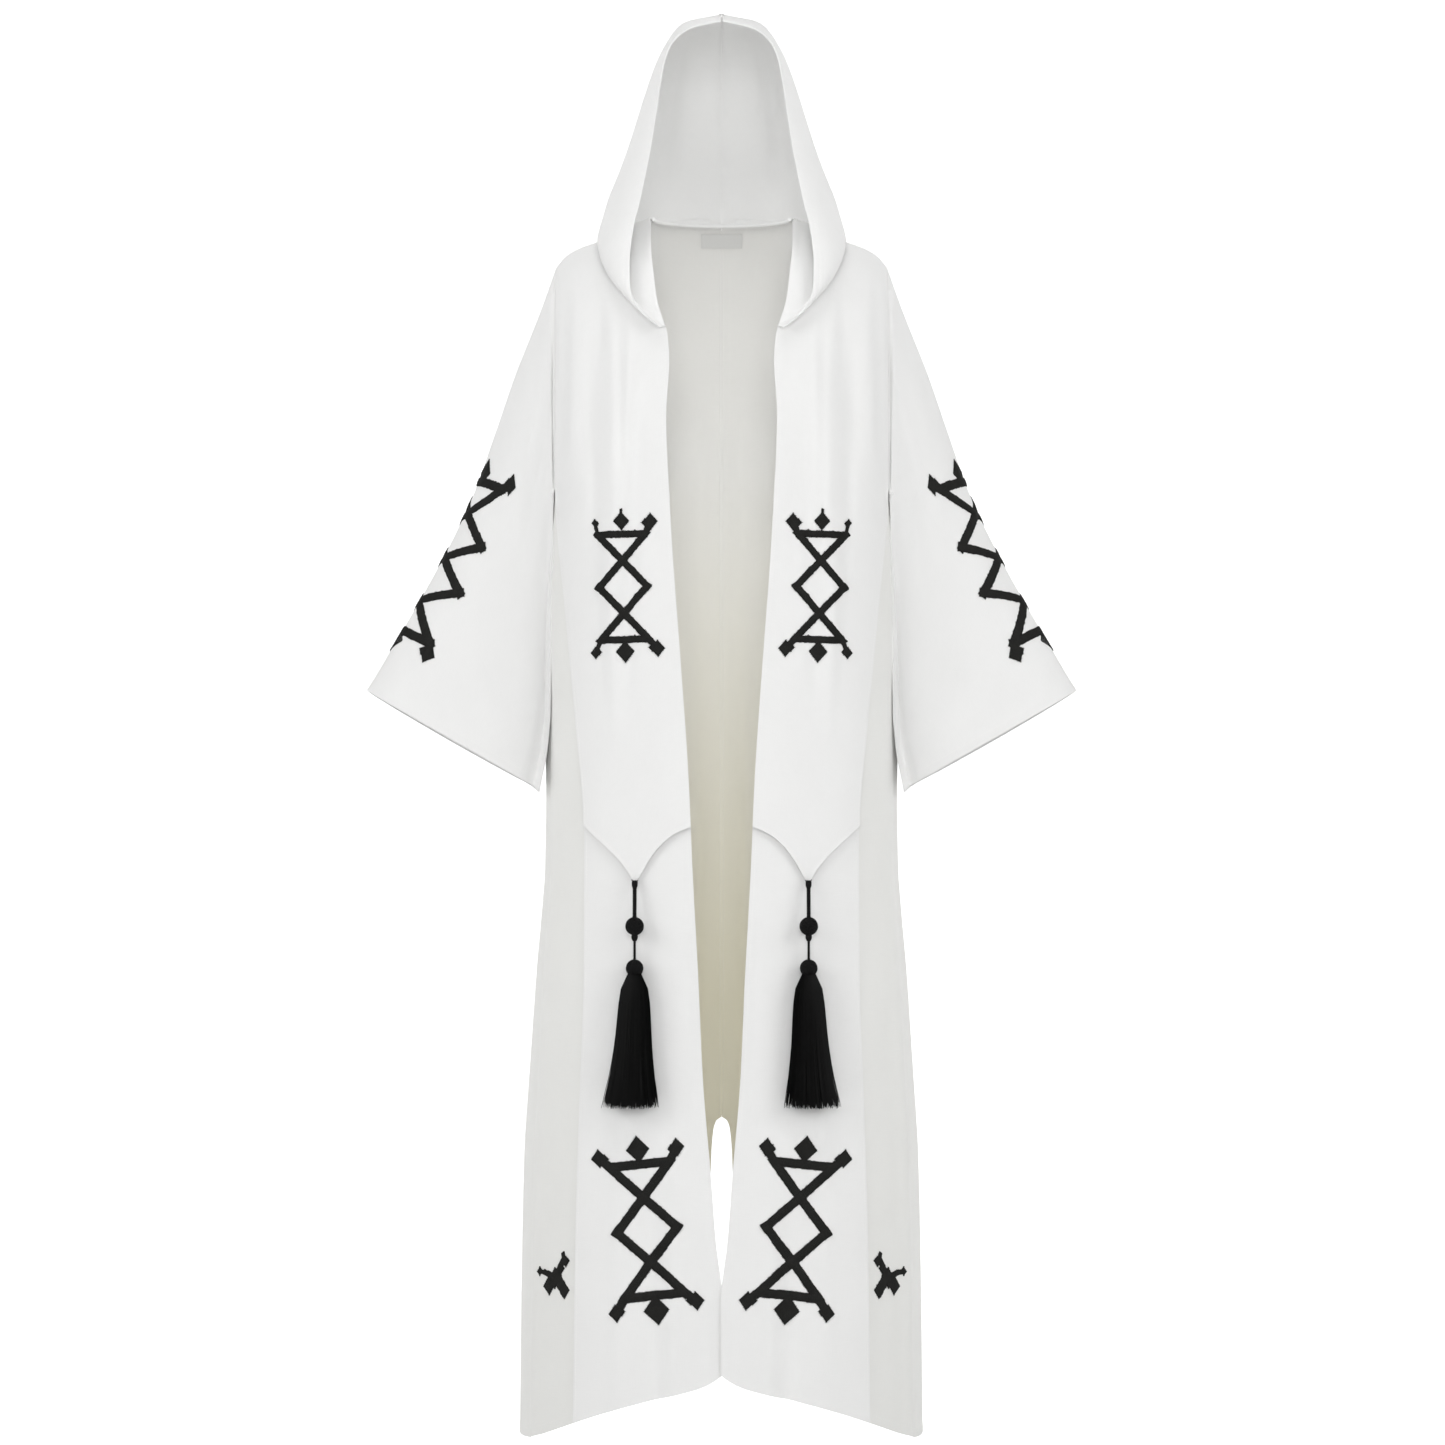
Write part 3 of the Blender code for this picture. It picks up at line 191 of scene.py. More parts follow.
# Sleeve, from the armhole to the cuff: its outer ridge, its inner edge and its half depths
SLEEVE = table(
    "outer_x outer_z inner_x inner_z front back",
    (0.1985, -0.030, 0.2085, -0.300, 0.0590, 0.0515),
    (0.2190, -0.088, 0.1990, -0.352, 0.0580, 0.0510),
    (0.2460, -0.155, 0.2000, -0.400, 0.0550, 0.0505),
    (0.2720, -0.230, 0.2026, -0.445, 0.050, 0.049),
    (0.2975, -0.302, 0.2030, -0.488, 0.047, 0.047),
    (0.3280, -0.367, 0.2030, -0.530, 0.044, 0.045),
    (0.3595, -0.425, 0.2042, -0.570, 0.041, 0.043),
    (0.3920, -0.481, 0.2080, -0.612, 0.038, 0.041),
    (0.4254, -0.5376, 0.2170, -0.656, 0.035, 0.039),
)
# The sleeve's inner fold lies forward, over the side of the body, and a little more near the arm
FOLD_FORWARD = 0.049
FOLD_FORWARD_TOP = 0.006
FOLD_TOP_REACH = 0.14
FOLD_TOP_FADE = 0.08
FOLD_WIDTH = 0.005
FOLD_UP_TO = 0.35
FOLD_UP_FADE = 0.2
FOLD_START = 0.08
FOLD_REACH = 0.05
FOLD_CLEARANCE = 0.0007
UNDERARM_TURN = math.radians(145)
UNDERARM_SQUARE = 0.20
CUFF_SQUARE = 0.46
CUFF_DROP = 0.0055
CUFF_DROP_START = 0.8
CUFF_DROP_LENGTH = 0.2
UNDERARM_CLEARANCE = 0.0012
ARMHOLE_BLEND = 0.24

# Hood, one row for each line from its front edge, over its side, to the neck or middle seam
HOOD = table(
    "edge side end",
    ((0.0730, -0.1285, -0.1120), (0.0700, -0.1275, -0.1115), (0.0665, -0.1240, -0.1110)),
    ((0.0880, -0.1290, -0.1000), (0.0900, -0.1270, -0.0990), (0.0710, -0.1180, -0.0970)),
    ((0.1020, -0.1265, -0.0820), (0.1085, -0.1200, -0.0810), (0.0760, -0.1100, -0.0790)),
    ((0.1076, -0.1220, -0.0616), (0.1320, -0.1010, -0.0560), (0.0795, -0.0990, -0.0560)),
    ((0.1083, -0.1160, -0.0342), (0.1450, -0.0760, -0.0260), (0.0832, -0.0880, -0.0220)),
    ((0.1080, -0.1140, -0.0260), (0.1472, -0.0640, -0.0150), (0.0848, -0.0700, 0.0000)),
    ((0.1073, -0.1115, -0.0185), (0.1485, -0.0520, -0.0070), (0.0854, -0.0450, 0.0160)),
    ((0.1066, -0.1090, -0.0113), (0.1490, -0.0420, -0.0010), (0.0860, -0.0050, 0.0280)),
    ((0.1026, -0.1030, 0.0141), (0.1475, -0.0150, 0.0120), (0.0760, 0.0330, 0.0280)),
    ((0.0975, -0.0975, 0.0333), (0.1430, -0.0050, 0.0290), (0.0430, 0.0610, 0.0270)),
    ((0.0922, -0.0930, 0.0587), (0.1375, 0.0000, 0.0500), (0.0000, 0.0712, 0.0270)),
    ((0.0840, -0.0850, 0.1008), (0.1215, 0.0100, 0.0900), (0.0000, 0.0980, 0.0700)),
    ((0.0777, -0.0770, 0.1429), (0.1060, 0.0150, 0.1360), (0.0000, 0.1200, 0.1250)),
    ((0.0729, -0.0695, 0.1796), (0.0920, 0.0180, 0.1800), (0.0000, 0.1240, 0.1800)),
    ((0.0677, -0.0630, 0.2101), (0.0795, 0.0150, 0.2160), (0.0000, 0.1060, 0.2280)),
    ((0.0583, -0.0575, 0.2322), (0.0650, 0.0050, 0.2430), (0.0000, 0.0700, 0.2585)),
    ((0.0375, -0.0510, 0.2497), (0.0440, -0.0120, 0.2670), (0.0000, 0.0200, 0.2765)),
    ((0.0008, -0.0460, 0.2584), (0.0012, -0.0430, 0.2630), (0.0000, -0.0390, 0.2685)),
)
HOOD_CLEARANCE = 0.0030
HOOD_SEAM_CLEARANCE = 0.0009

# Creases, from their top to their foot. Lean is how far they move out for each metre down.
FRONT_CREASES = table(
    "across lean top bottom width left right",
    (0.146, 0.050, -0.06, -0.70, 0.012, -0.0078, -0.0070),
    (0.108, 0.072, -0.08, -0.66, 0.016, 0.0062, 0.0066),
    (0.098, 0.030, -0.14, -0.60, 0.009, -0.0022, -0.0030),
    (0.1415, 0.000, -0.04, -0.20, 0.005, -0.0026, -0.0034),
    (0.119, 0.000, -0.06, -0.34, 0.006, -0.0024, -0.0044),
    (0.1840, 0.022, -0.02, -0.42, 0.0048, -0.0040, -0.0036),
    (0.172, 0.030, -0.02, -0.30, 0.006, 0.0012, 0.0010),
    (0.090, -0.035, -0.20, -0.47, 0.010, -0.0010, -0.0007),
    (0.140, 0.000, -0.86, -1.50, 0.018, 0.0024, 0.0032),
    (0.035, 0.000, -0.80, -1.10, 0.014, -0.0022, -0.0016),
    (0.112, 0.010, -0.86, -1.14, 0.012, -0.0014, -0.0010),
    (0.078, 0.000, -1.12, -1.50, 0.011, -0.0052, -0.0040),
    (0.058, -0.010, -1.00, -1.50, 0.012, 0.0012, 0.0016),
    (0.000, 0.000, -1.22, -1.50, 0.010, -0.0034, -0.0034),
)
BACK_CREASES = table(
    "across lean top bottom width left right",
    (0.024, 0.000, -0.16, -1.50, 0.014, 0.0050, 0.0040),
    (0.056, 0.000, -0.20, -1.30, 0.015, -0.0050, -0.0060),
    (0.088, 0.000, -0.12, -1.50, 0.015, 0.0060, 0.0050),
    (0.118, 0.000, -0.18, -1.38, 0.013, -0.0040, -0.0050),
    (0.040, 0.015, -0.55, -1.50, 0.008, -0.0016, -0.0010),
    (0.104, -0.010, -0.40, -1.10, 0.008, -0.0012, -0.0018),
    (0.150, -0.060, -0.10, -0.34, 0.007, -0.0018, -0.0013),
)
CREASE_FADE = 0.10
CREASE_MARGIN = 0.014
CREASE_SIDE_FADE = 0.02
CREASE_ARM_FADE = 0.08
# Below this height the left front laps over the right one
LAP_TOP = -1.215
LAP_FADE = 0.05
LAP_WIDTH = 0.010
LAP_OVER = 0.0012
LAP_DEPTH = 0.0014


def srgb(*levels):
    """Levels from 0 to 255 as the linear colour that a shader takes."""
    made = []
    for level in levels:
        share = level / 255
        made.append(share / 12.92 if share <= 0.04045 else ((share + 0.055) / 1.055) ** 2.4)
    return (*made, 1.0)


class Curve:
    """A smooth line through a short table, which never overshoots its points."""

    def __init__(self, places, values):
        order = np.argsort(places)
        self.places = np.array(places, float)[order]
        self.values = np.array(values, float)[order]
        rises = np.diff(self.values) / np.diff(self.places)
        self.slopes = np.zeros(len(self.places))
        self.slopes[0] = rises[0]
        self.slopes[-1] = rises[-1]
        for index, (before, after) in enumerate(zip(rises, rises[1:]), 1):
            if before * after > 0:
                self.slopes[index] = 2 * before * after / (before + after)

    def __call__(self, at):
        at = np.clip(at, self.places[0], self.places[-1])
        index = np.clip(np.searchsorted(self.places, at) - 1, 0, len(self.places) - 2)
        step = self.places[index + 1] - self.places[index]
        t = (at - self.places[index]) / step
        soft = t * t * (3 - 2 * t)
        bend = t * (1 - t) ** 2 * step * self.slopes[index]
        bend = bend + t * t * (t - 1) * step * self.slopes[index + 1]
        return self.values[index] * (1 - soft) + self.values[index + 1] * soft + bend


def column(rows, place, value):
    """The curve of one named column of a table against another."""
    return Curve([getattr(row, place) for row in rows], [getattr(row, value) for row in rows])


half_width_at = column(GIRTHS, "height", "half_width")
front_at = column(GIRTHS, "height", "front")
back_at = column(GIRTHS, "height", "back")
shoulder_at = column(SHOULDER_LINE, "across", "height")
front_edge_at = column(FRONT_EDGE, "height", "across")
side_seam_at = column(SIDE_SEAM, "height", "across")
back_slit_at = column(BACK_SLIT, "height", "across")
ogee_to_opening = column(OGEE_TO_OPENING, "out", "rise")
ogee_to_side = column(OGEE_TO_SIDE, "out", "rise")


def ease(value):
    """0 to 1 with a soft start and end."""
    value = np.clip(value, 0.0, 1.0)
    return value * value * (3 - 2 * value)


def bump(value, centre, width):
    """A soft hump, 1 at its centre."""
    return np.exp(-((value - centre) / width) ** 2)


def between(value, start, end, fade):
    """1 from start to end, with a soft rise and fall of the length of fade inside them."""
    return ease((value - start) / fade) * ease((end - value) / fade)


def top_height(x):
    """Height of the shoulder seam, and of the back neck between the two shoulders."""
    nape = NAPE_HEIGHT + (NECK_SIDE_HEIGHT - NAPE_HEIGHT) * (x / NECK_HALF_WIDTH) ** 2
    return np.where(x >= NECK_HALF_WIDTH, shoulder_at(x), nape)


def back_hem_height(x):
    """The hem rises from the sides towards the middle."""
    return HEM_CENTRE_HEIGHT - HEM_SLOPE * x - HEM_CURVE * x * x


def hem_height(x):
    """The hem hangs lowest at the sides and rises to a small peak in the middle."""
    return back_hem_height(x) + HEM_PEAK * np.exp(-x / HEM_PEAK_WIDTH)


def ogee_height(x):
    """Hem of the upper front: a point where the tassel hangs, with a hollow curve each side."""
    out = x - OGEE_TIP_ACROSS
    return OGEE_TIP_HEIGHT + np.where(out > 0, ogee_to_side(out), ogee_to_opening(-out))


def section(x, height):
    """How deep the body is at x, as a share of its depth in the middle."""
    share = np.minimum(x / half_width_at(height), 1.0)
    return (1 - share ** ROUNDNESS) ** (1 / ROUNDNESS)


def shoulder_cap(drop):
    """The body rounds forward and back from its top line over this drop."""
    share = np.clip(drop / SHOULDER_ROUND, 0.0, 1.0)
    return np.sqrt(1 - (1 - share) ** 2)


def front_y(x, z):
    """Depth of the front of the body."""
    return -front_at(z) * section(x, z) * shoulder_cap(top_height(x) - z)


def back_y(x, z):
    """Depth of the back of the body, which starts at the nape between the shoulders."""
    start = NAPE_DEPTH * np.sqrt(np.clip(1 - (x / NECK_HALF_WIDTH) ** 2, 0.0, 1.0))
    full = back_at(z) * section(x, z)
    return start + (full - start) * shoulder_cap(top_height(x) - z)


def crease_height(creases, x, z, side):
    """How far the creases move the cloth out. They fade before the side seam, where the gore
    lies under the panel."""
    flat_from = side_seam_at(z) - GORE_OVERLAP - CREASE_MARGIN
    beside_gore = 1 - ease((flat_from - x) / CREASE_SIDE_FADE)
    below_arm = ease((UNDERARM_HEIGHT + CREASE_ARM_FADE - z) / CREASE_ARM_FADE)
    total = np.zeros_like(x)
    for crease in creases:
        depth = crease.left if side > 0 else crease.right
        centre = crease.across + crease.lean * (crease.top - z)
        down = between(z, crease.bottom, crease.top, CREASE_FADE)
        total += depth * down * (1 - beside_gore * below_arm) * bump(x, centre, crease.width)
    return total


def unit(vectors):
    """The same directions with a length of 1."""
    return vectors / np.maximum(np.linalg.norm(vectors, axis=-1, keepdims=True), 1e-12)


def reach_along(line):
    """Distance of every point of a line from its start."""
    return np.concatenate([[0.0], np.cumsum(np.linalg.norm(np.diff(line, axis=0), axis=1))])


def sampled(vectors, reach, at):
    """Points or normals of a line at other distances from its start."""
    return np.stack([np.interp(at, reach, vectors[:, axis]) for axis in range(3)], axis=1)


def evenly(line, count):
    """The same line with points at even distances."""
    reach = reach_along(line)
    return sampled(line, reach, np.linspace(0.0, reach[-1], count))


class Cloth:
    """A grid of points on a piece of cloth. out is 1 or -1, whichever turns its normals
    outwards, and ring joins its two side columns."""

    def __init__(self, points, out, ring=False):
        self.points = points
        self.out = out
        self.ring = ring
        down = np.gradient(points, axis=0)
        if ring:
            across = np.roll(points, -1, axis=1) - np.roll(points, 1, axis=1)
        else:
            across = np.gradient(points, axis=1)
        self.normals = unit(np.cross(down, across) * out)

    def moved(self, distance):
        """The same cloth moved out along its normals."""
        distance = np.broadcast_to(distance, self.points.shape[:2])
        return Cloth(self.points + self.normals * distance[:, :, None], self.out, self.ring)

    def lengths(self, axis):
        """Distance along the cloth from its first row or column."""
        steps = np.linalg.norm(np.diff(self.points, axis=axis), axis=2)
        start = np.zeros_like(np.take(steps, [0], axis=axis))
        return np.concatenate([start, np.cumsum(steps, axis=axis)], axis=axis)

    def from_edge(self, edge):
        """Distance of every point from one edge: top, bottom, first or last."""
        along = self.lengths(0 if edge in ("top", "bottom") else 1)
        if edge == "bottom":
            return along[-1:, :] - along
        if edge == "last":
            return along[:, -1:] - along
        return along

    def from_line(self, line):
        """Straight distance of every point from a line."""
        dense = evenly(line, 800)
        return np.array([np.linalg.norm(row[:, None] - dense, axis=2).min(axis=1)
                         for row in self.points])

    def at(self, rows, cols):
        """Points and normals at fractional rows and columns."""
        rows = np.asarray(rows, float)
        cols = np.asarray(cols, float)
        count = self.points.shape
        row = np.clip(np.floor(rows).astype(int), 0, count[0] - 2)
        col = np.floor(cols).astype(int)
        if not self.ring:
            col = np.clip(col, 0, count[1] - 2)
        down = (rows - row)[..., None]
        over = (cols - col)[..., None]
        first = col % count[1]
        second = (col + 1) % count[1]
        found = []
        for source in (self.points, self.normals):
            upper = source[row, first] * (1 - over) + source[row, second] * over
            lower = source[row + 1, first] * (1 - over) + source[row + 1, second] * over
            found.append(upper * (1 - down) + lower * down)
        return found[0], unit(found[1])

    def line(self, edge, distance, step):
        """Evenly spaced points and normals along a line beside one edge."""
        level = edge in ("top", "bottom")
        along = self.from_edge(edge) if level else self.from_edge(edge).T
        order = slice(None, None, -1) if edge in ("bottom", "last") else slice(None)
        numbers = np.arange(len(along))[order]
        places = np.arange(along.shape[1])
        cross = [np.interp(distance, along[order, place], numbers) for place in places]
        points, normals = self.at(cross, places) if level else self.at(places, cross)
        if level and self.ring:
            points = np.concatenate([points, points[:1]])
            normals = np.concatenate([normals, normals[:1]])
        reach = reach_along(points)
        at = np.arange(step / 2, reach[-1], step)
        return sampled(points, reach, at), unit(sampled(normals, reach, at))


# Meshes

def add_mesh(name, points, faces, finish, side=1, uvs=None, sharp=40):
    """One piece of the garment, riding on its only body."""
    points = np.array(points, float)
    points[:, 0] *= side
    if side < 0:
        faces = [face[::-1] for face in faces]
    mesh = bpy.data.meshes.new(name)
    mesh.from_pydata(points.tolist(), [], faces)
    if uvs is not None:
        layer = mesh.uv_layers.new(name="cloth")
        corners = np.zeros(len(mesh.loops), int)
        mesh.loops.foreach_get("vertex_index", corners)
        layer.data.foreach_set("uv", np.asarray(uvs, np.float32)[corners].ravel())
    mesh.shade_smooth()
    mesh.set_sharp_from_angle(angle=math.radians(sharp))
    mesh.materials.append(finish)
    piece = bpy.data.objects.new(name, mesh)
    bpy.context.scene.collection.objects.link(piece)
    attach(piece, "root")
    return piece


def grid_faces(rows, cols, ring, start=0, flip=False):
    """Faces between the points of a grid, whose numbers begin at start."""
    row = np.arange(rows - 1)[:, None]
    col = np.arange(cols if ring else cols - 1)[None, :]
    after = (col + 1) % cols
    quads = np.stack([row * cols + col, row * cols + after, (row + 1) * cols + after,
                      (row + 1) * cols + col], axis=-1).reshape(-1, 4) + start
    return (quads[:, ::-1] if flip else quads).tolist()


def tube_faces(length, sides, start=0):
    """Faces of a tube with flat ends."""
    last = start + (length - 1) * sides
    ends = [list(range(start, start + sides))[::-1], list(range(last, last + sides))]
    return grid_faces(length, sides, True, start) + ends


def wall_faces(rim, cols, count, turned=False):
    """Faces from a line of grid points to the same line in the layer that starts count later."""
    numbers = [row * cols + col for row, col in rim]
    faces = [[b, a, a + count, b + count] for a, b in zip(numbers, numbers[1:])]
    return [face[::-1] for face in faces] if turned else faces


def shell(name, cloth, settings, finish, side, lift=0.0, thickness=None):
    """A thin closed shell of cloth. lift moves its outer face out, point by point."""
    thickness = settings.thickness if thickness is None else thickness
    points = cloth.points
    rows, cols = points.shape[:2]
    lift = np.broadcast_to(lift, (rows, cols))
    outer = points + cloth.normals * lift[:, :, None]
    inner = points - cloth.normals * np.broadcast_to(thickness, (rows, cols))[:, :, None]
    count = rows * cols
    flip = cloth.out > 0
    faces = grid_faces(rows, cols, cloth.ring, 0, not flip)
    faces += grid_faces(rows, cols, cloth.ring, count, flip)
    last = [0] if cloth.ring else []
    rims = [([(0, col) for col in [*range(cols), *last]], flip),
            ([(rows - 1, col) for col in [*range(cols), *last]], not flip)]
    if not cloth.ring:
        rims.append(([(row, 0) for row in range(rows)], not flip))
        rims.append(([(row, cols - 1) for row in range(rows)], flip))
    for rim, turned in rims:
        faces += wall_faces(rim, cols, count, turned)
    uv = np.stack([cloth.lengths(1), -cloth.lengths(0)], axis=2).reshape(-1, 2)
    both = np.concatenate([outer.reshape(-1, 3), inner.reshape(-1, 3)])
    return add_mesh(name, both, faces, finish, side, np.concatenate([uv, uv]))


def tubes(points, ups, radii, sides=4, flat=1.0):
    """Many like tubes at once. points and ups are tube by point by axis, radii one number for
    each point. flat squeezes them along their up direction. Gives points and faces."""
    points = np.asarray(points, float)
    ups = np.broadcast_to(ups, points.shape)
    radii = np.broadcast_to(radii, points.shape[:2])
    along = unit(np.gradient(points, axis=1))
    across = unit(np.cross(along, ups))
    up = np.cross(across, along)
    turns = 2 * np.pi * (np.arange(sides) + 0.5) / sides
    ring = across[:, :, None] * np.cos(turns)[:, None]
    ring = ring + up[:, :, None] * np.sin(turns)[:, None] * flat
    made = points[:, :, None] + ring * radii[:, :, None, None]
    many, length = points.shape[:2]
    faces = []
    for tube in range(many):
        faces += tube_faces(length, sides, tube * length * sides)
    return made.reshape(-1, 3), [face[::-1] for face in faces]


def joined(parts):
    """One list of points and faces from several."""
    points = []
    faces = []
    start = 0
    for more, more_faces in parts:
        points.append(more)
        faces += [[corner + start for corner in face] for face in more_faces]
        start += len(more)
    return np.concatenate(points), faces


# Cloth pieces

PANEL_ROUNDS = 10
CAP_ROWS = 26
FRONT_ROWS = 130
UPPER_COLUMNS = 41
BACK_COLUMNS = 45
# The lower front's columns are closer together up to this share of its width, where it laps
LAP_COLUMNS_END = 0.12
# The back's rows are closer together round the top of its slit
SLIT_ROWS_START = 0.775
SLIT_ROWS = table(
    "start end count",
    (0.7765, 0.82, 34),
    (0.825, 1.0, 34),
)


def panel(top, bottom, inner, outer, rows, columns):
    """Across and height of every point between a piece's top, bottom and side lines. The lines
    depend on each other, so it starts from any place and comes closer with each round."""
    down, across = np.meshgrid(rows, columns, indexing="ij")
    x = np.full(down.shape, 0.1)
    z = np.full(down.shape, -0.5)
    for _ in range(PANEL_ROUNDS):
        x = inner(z) + (outer(z) - inner(z)) * across
        z = top(x) + (bottom(x) - top(x)) * down
    return x, z


class Panel:
    """A flat-cut piece of the body, with a way to find a place on it seen from the front."""

    def __init__(self, top, bottom, inner, rows, columns):
        self.top = top
        self.bottom = bottom
        self.inner = inner
        self.rows = np.array(rows)
        self.columns = np.array(columns)
        self.x, self.z = panel(top, bottom, inner, side_seam_at, rows, columns)
        self.cloth = None

    def place(self, x, z):
        """Fractional row and column of a place."""
        down = (self.top(x) - z) / (self.top(x) - self.bottom(x))
        inner = self.inner(z)
        across = (x - inner) / (side_seam_at(z) - inner)
        row = np.interp(down, self.rows, np.arange(len(self.rows)))
        return row, np.interp(across, self.columns, np.arange(len(self.columns)))


def cap_rows(length):
    """Shares of the length that follow the round of the shoulder."""
    turns = np.radians(90) * np.arange(CAP_ROWS) / CAP_ROWS
    return SHOULDER_ROUND * (1 - np.cos(turns)) / length


def upper_front(side):
    """Upper front, from the shoulder seam to its pointed hem."""
    length = NECK_SIDE_HEIGHT - OGEE_TIP_HEIGHT
    rows = [cap_rows(length), np.linspace(SHOULDER_ROUND / length, 1.0, FRONT_ROWS)]
    rows = np.concatenate(rows)
    made = Panel(top_height, ogee_height, front_edge_at, rows, np.linspace(0, 1, UPPER_COLUMNS))
    y = np.minimum(front_y(made.x, made.z), -SEAM / 2)
    y = y - crease_height(FRONT_CREASES, made.x, made.z, side)
    y -= OGEE_LIFT * ease((rows[:, None] - OGEE_LIFT_START) / OGEE_LIFT_LENGTH)
    made.cloth = Cloth(np.stack([made.x, y, made.z], axis=2), 1)
    return made


def lower_front(side):
    """Lower front, a layer behind the upper one, from under its pointed hem to the floor hem."""
    def top(x):
        return np.full_like(x, LOWER_FRONT_TOP)

    columns = np.concatenate([np.linspace(0, LAP_COLUMNS_END, 8)[:-1],
                              np.linspace(LAP_COLUMNS_END, 1, 34)])
    made = Panel(top, hem_height, front_edge_at, np.linspace(0, 1, FRONT_ROWS), columns)
    y = front_y(made.x, made.z) - crease_height(FRONT_CREASES, made.x, made.z, side)
    points = Cloth(np.stack([made.x, y, made.z], axis=2), 1).moved(-LAYER).points
    lap = ease((LAP_TOP - made.z) / LAP_FADE) * bump(made.x, 0.0, LAP_WIDTH)
    points[..., 0] -= LAP_OVER * lap
    points[..., 1] -= side * LAP_DEPTH * lap
    made.cloth = Cloth(points, 1)
    return made


def back(side):
    """Half of the back, from the shoulder seam and the nape to the hem, with half the slit."""
    length = NECK_SIDE_HEIGHT - HEM_CENTRE_HEIGHT
    rows = [cap_rows(length), np.linspace(SHOULDER_ROUND / length, SLIT_ROWS_START, 124)]
    rows = np.concatenate(rows + [np.linspace(*part) for part in SLIT_ROWS])
    made = Panel(top_height, back_hem_height, back_slit_at, rows, np.linspace(0, 1, BACK_COLUMNS))
    y = np.maximum(back_y(made.x, made.z), SEAM / 2)
    y = y + crease_height(BACK_CREASES, made.x, made.z, side)
    made.cloth = Cloth(np.stack([made.x, y, made.z], axis=2), -1)
    return made


# Folds of the gore. Turn is in degrees from the middle of the front round to the back.
GORE_FOLDS = table(
    "turn top width left right",
    (66, -0.70, 5.0, 0.0045, 0.0035),
    (79, -0.52, 6.0, -0.0030, -0.0045),
    (93, -0.80, 5.5, 0.0040, 0.0050),
    (107, -0.60, 6.0, -0.0040, -0.0030),
    (119, -0.78, 5.0, 0.0035, 0.0045),
)
GORE_FOLD_START = 0.004
GORE_FOLD_FADE = 0.02
GORE_FOLD_LENGTH = 0.3

# How far the gore rounds out beside the sleeve, most at one turn of it
GORE_BULGE = table(
    "height out",
    (-0.300, 0.0008),
    (-0.352, 0.0047),
    (-0.450, 0.0049),
    (-0.600, 0.0058),
    (-0.760, 0.0000),
)
gore_bulge_at = column(GORE_BULGE, "height", "out")
GORE_BULGE_TURN = 90
GORE_BULGE_WIDTH = 28
GORE_ROUNDS = 8
GORE_ROWS = 150
GORE_COLUMNS = 61
# The gore goes down behind the lower front over this height
UNDER_LOWER_ABOVE = 0.17
UNDER_LOWER_FADE = 0.08


def gore_bulge(turn, z):
    """The gore rounds out beside the sleeve. turn is in degrees from the middle of the front."""
    return gore_bulge_at(z) * bump(turn, GORE_BULGE_TURN, GORE_BULGE_WIDTH)


def side_gore(side):
    """Side gore, tucked under the front and back panels, from the underarm to the hem."""
    down = np.linspace(0.0, 1.0, GORE_ROWS)[:, None]
    top = UNDERARM_HEIGHT - SEAM
    seam_x = np.full(down.shape, ARMHOLE_HALF_WIDTH)
    for _ in range(GORE_ROUNDS):
        seam_z = top + (hem_height(seam_x) - top) * down
        seam_x = side_seam_at(seam_z)
    start = np.arcsin(((seam_x - GORE_OVERLAP) / half_width_at(seam_z)) ** (ROUNDNESS / 2))
    across = np.linspace(0.0, 1.0, GORE_COLUMNS)[None, :]
    turn = start + (math.pi - 2 * start) * across
    x = half_width_at(seam_z) * np.sin(turn) ** (2 / ROUNDNESS)
    z = top + (back_hem_height(x) - top) * down
    x = half_width_at(z) * np.sin(turn) ** (2 / ROUNDNESS)
    depth = np.where(turn < math.pi / 2, front_at(z), back_at(z))
    y = -np.sign(np.cos(turn)) * depth * np.abs(np.cos(turn)) ** (2 / ROUNDNESS)
    under_lower = ease((LOWER_FRONT_TOP + UNDER_LOWER_ABOVE - z) / UNDER_LOWER_FADE)
    under_lower = under_lower * ease(0.5 - y / UNDER_LOWER_FADE)
    degrees = np.degrees(turn)
    away = ease((x - side_seam_at(z) - GORE_FOLD_START) / GORE_FOLD_FADE)
    fold = np.zeros_like(x)
    for row in GORE_FOLDS:
        depth_here = row.left if side > 0 else row.right
        down_here = ease((row.top - z) / GORE_FOLD_LENGTH)
        fold += depth_here * down_here * bump(degrees, row.turn, row.width)
    tuck = -(1 + under_lower) * LAYER - GORE_CLEARANCE + fold * away
    tuck = tuck + gore_bulge(degrees, z)
    return Cloth(np.stack([x, y, z], axis=2), 1).moved(tuck)


# Creases of the sleeve. Turn is in degrees from the outer ridge over the front, and start and
# end are shares of its length.
SLEEVE_CREASES = table(
    "turn turn_end start end width depth",
    (105, 105, 0.02, 0.98, 20, -0.0040),
    (60, 78, 0.00, 0.45, 8, -0.0016),
    (84, 118, 0.02, 0.50, 7, -0.0018),
    (126, 96, 0.10, 0.80, 8, 0.0014),
    (48, 40, 0.45, 1.10, 9, 0.0014),
    (78, 70, 0.55, 1.10, 9, -0.0014),
    (250, 262, 0.05, 0.95, 16, -0.0036),
    (292, 300, 0.30, 1.10, 10, 0.0020),
    (228, 236, 0.10, 0.70, 8, 0.0016),
)
CREASE_END = 0.15
RIGHT_CREASE_SHARE = 0.75
# First ring after the armhole seam, and where the sleeve has become as square as its cuff
SECOND_RING = 0.012
SQUARE_LENGTH = 0.6
CLEAR_FADE = 0.01

# Crease beside the front of the armhole seam, and between which turns of the sleeve it runs
SEAM_CREASE_AWAY = 0.0095
SEAM_CREASE_WIDTH = 0.0045
SEAM_CREASE_DEPTH = -0.0038
SEAM_CREASE_FROM = 18
SEAM_CREASE_FROM_FADE = 20
SEAM_CREASE_TO = 170
SEAM_CREASE_TO_FADE = 40


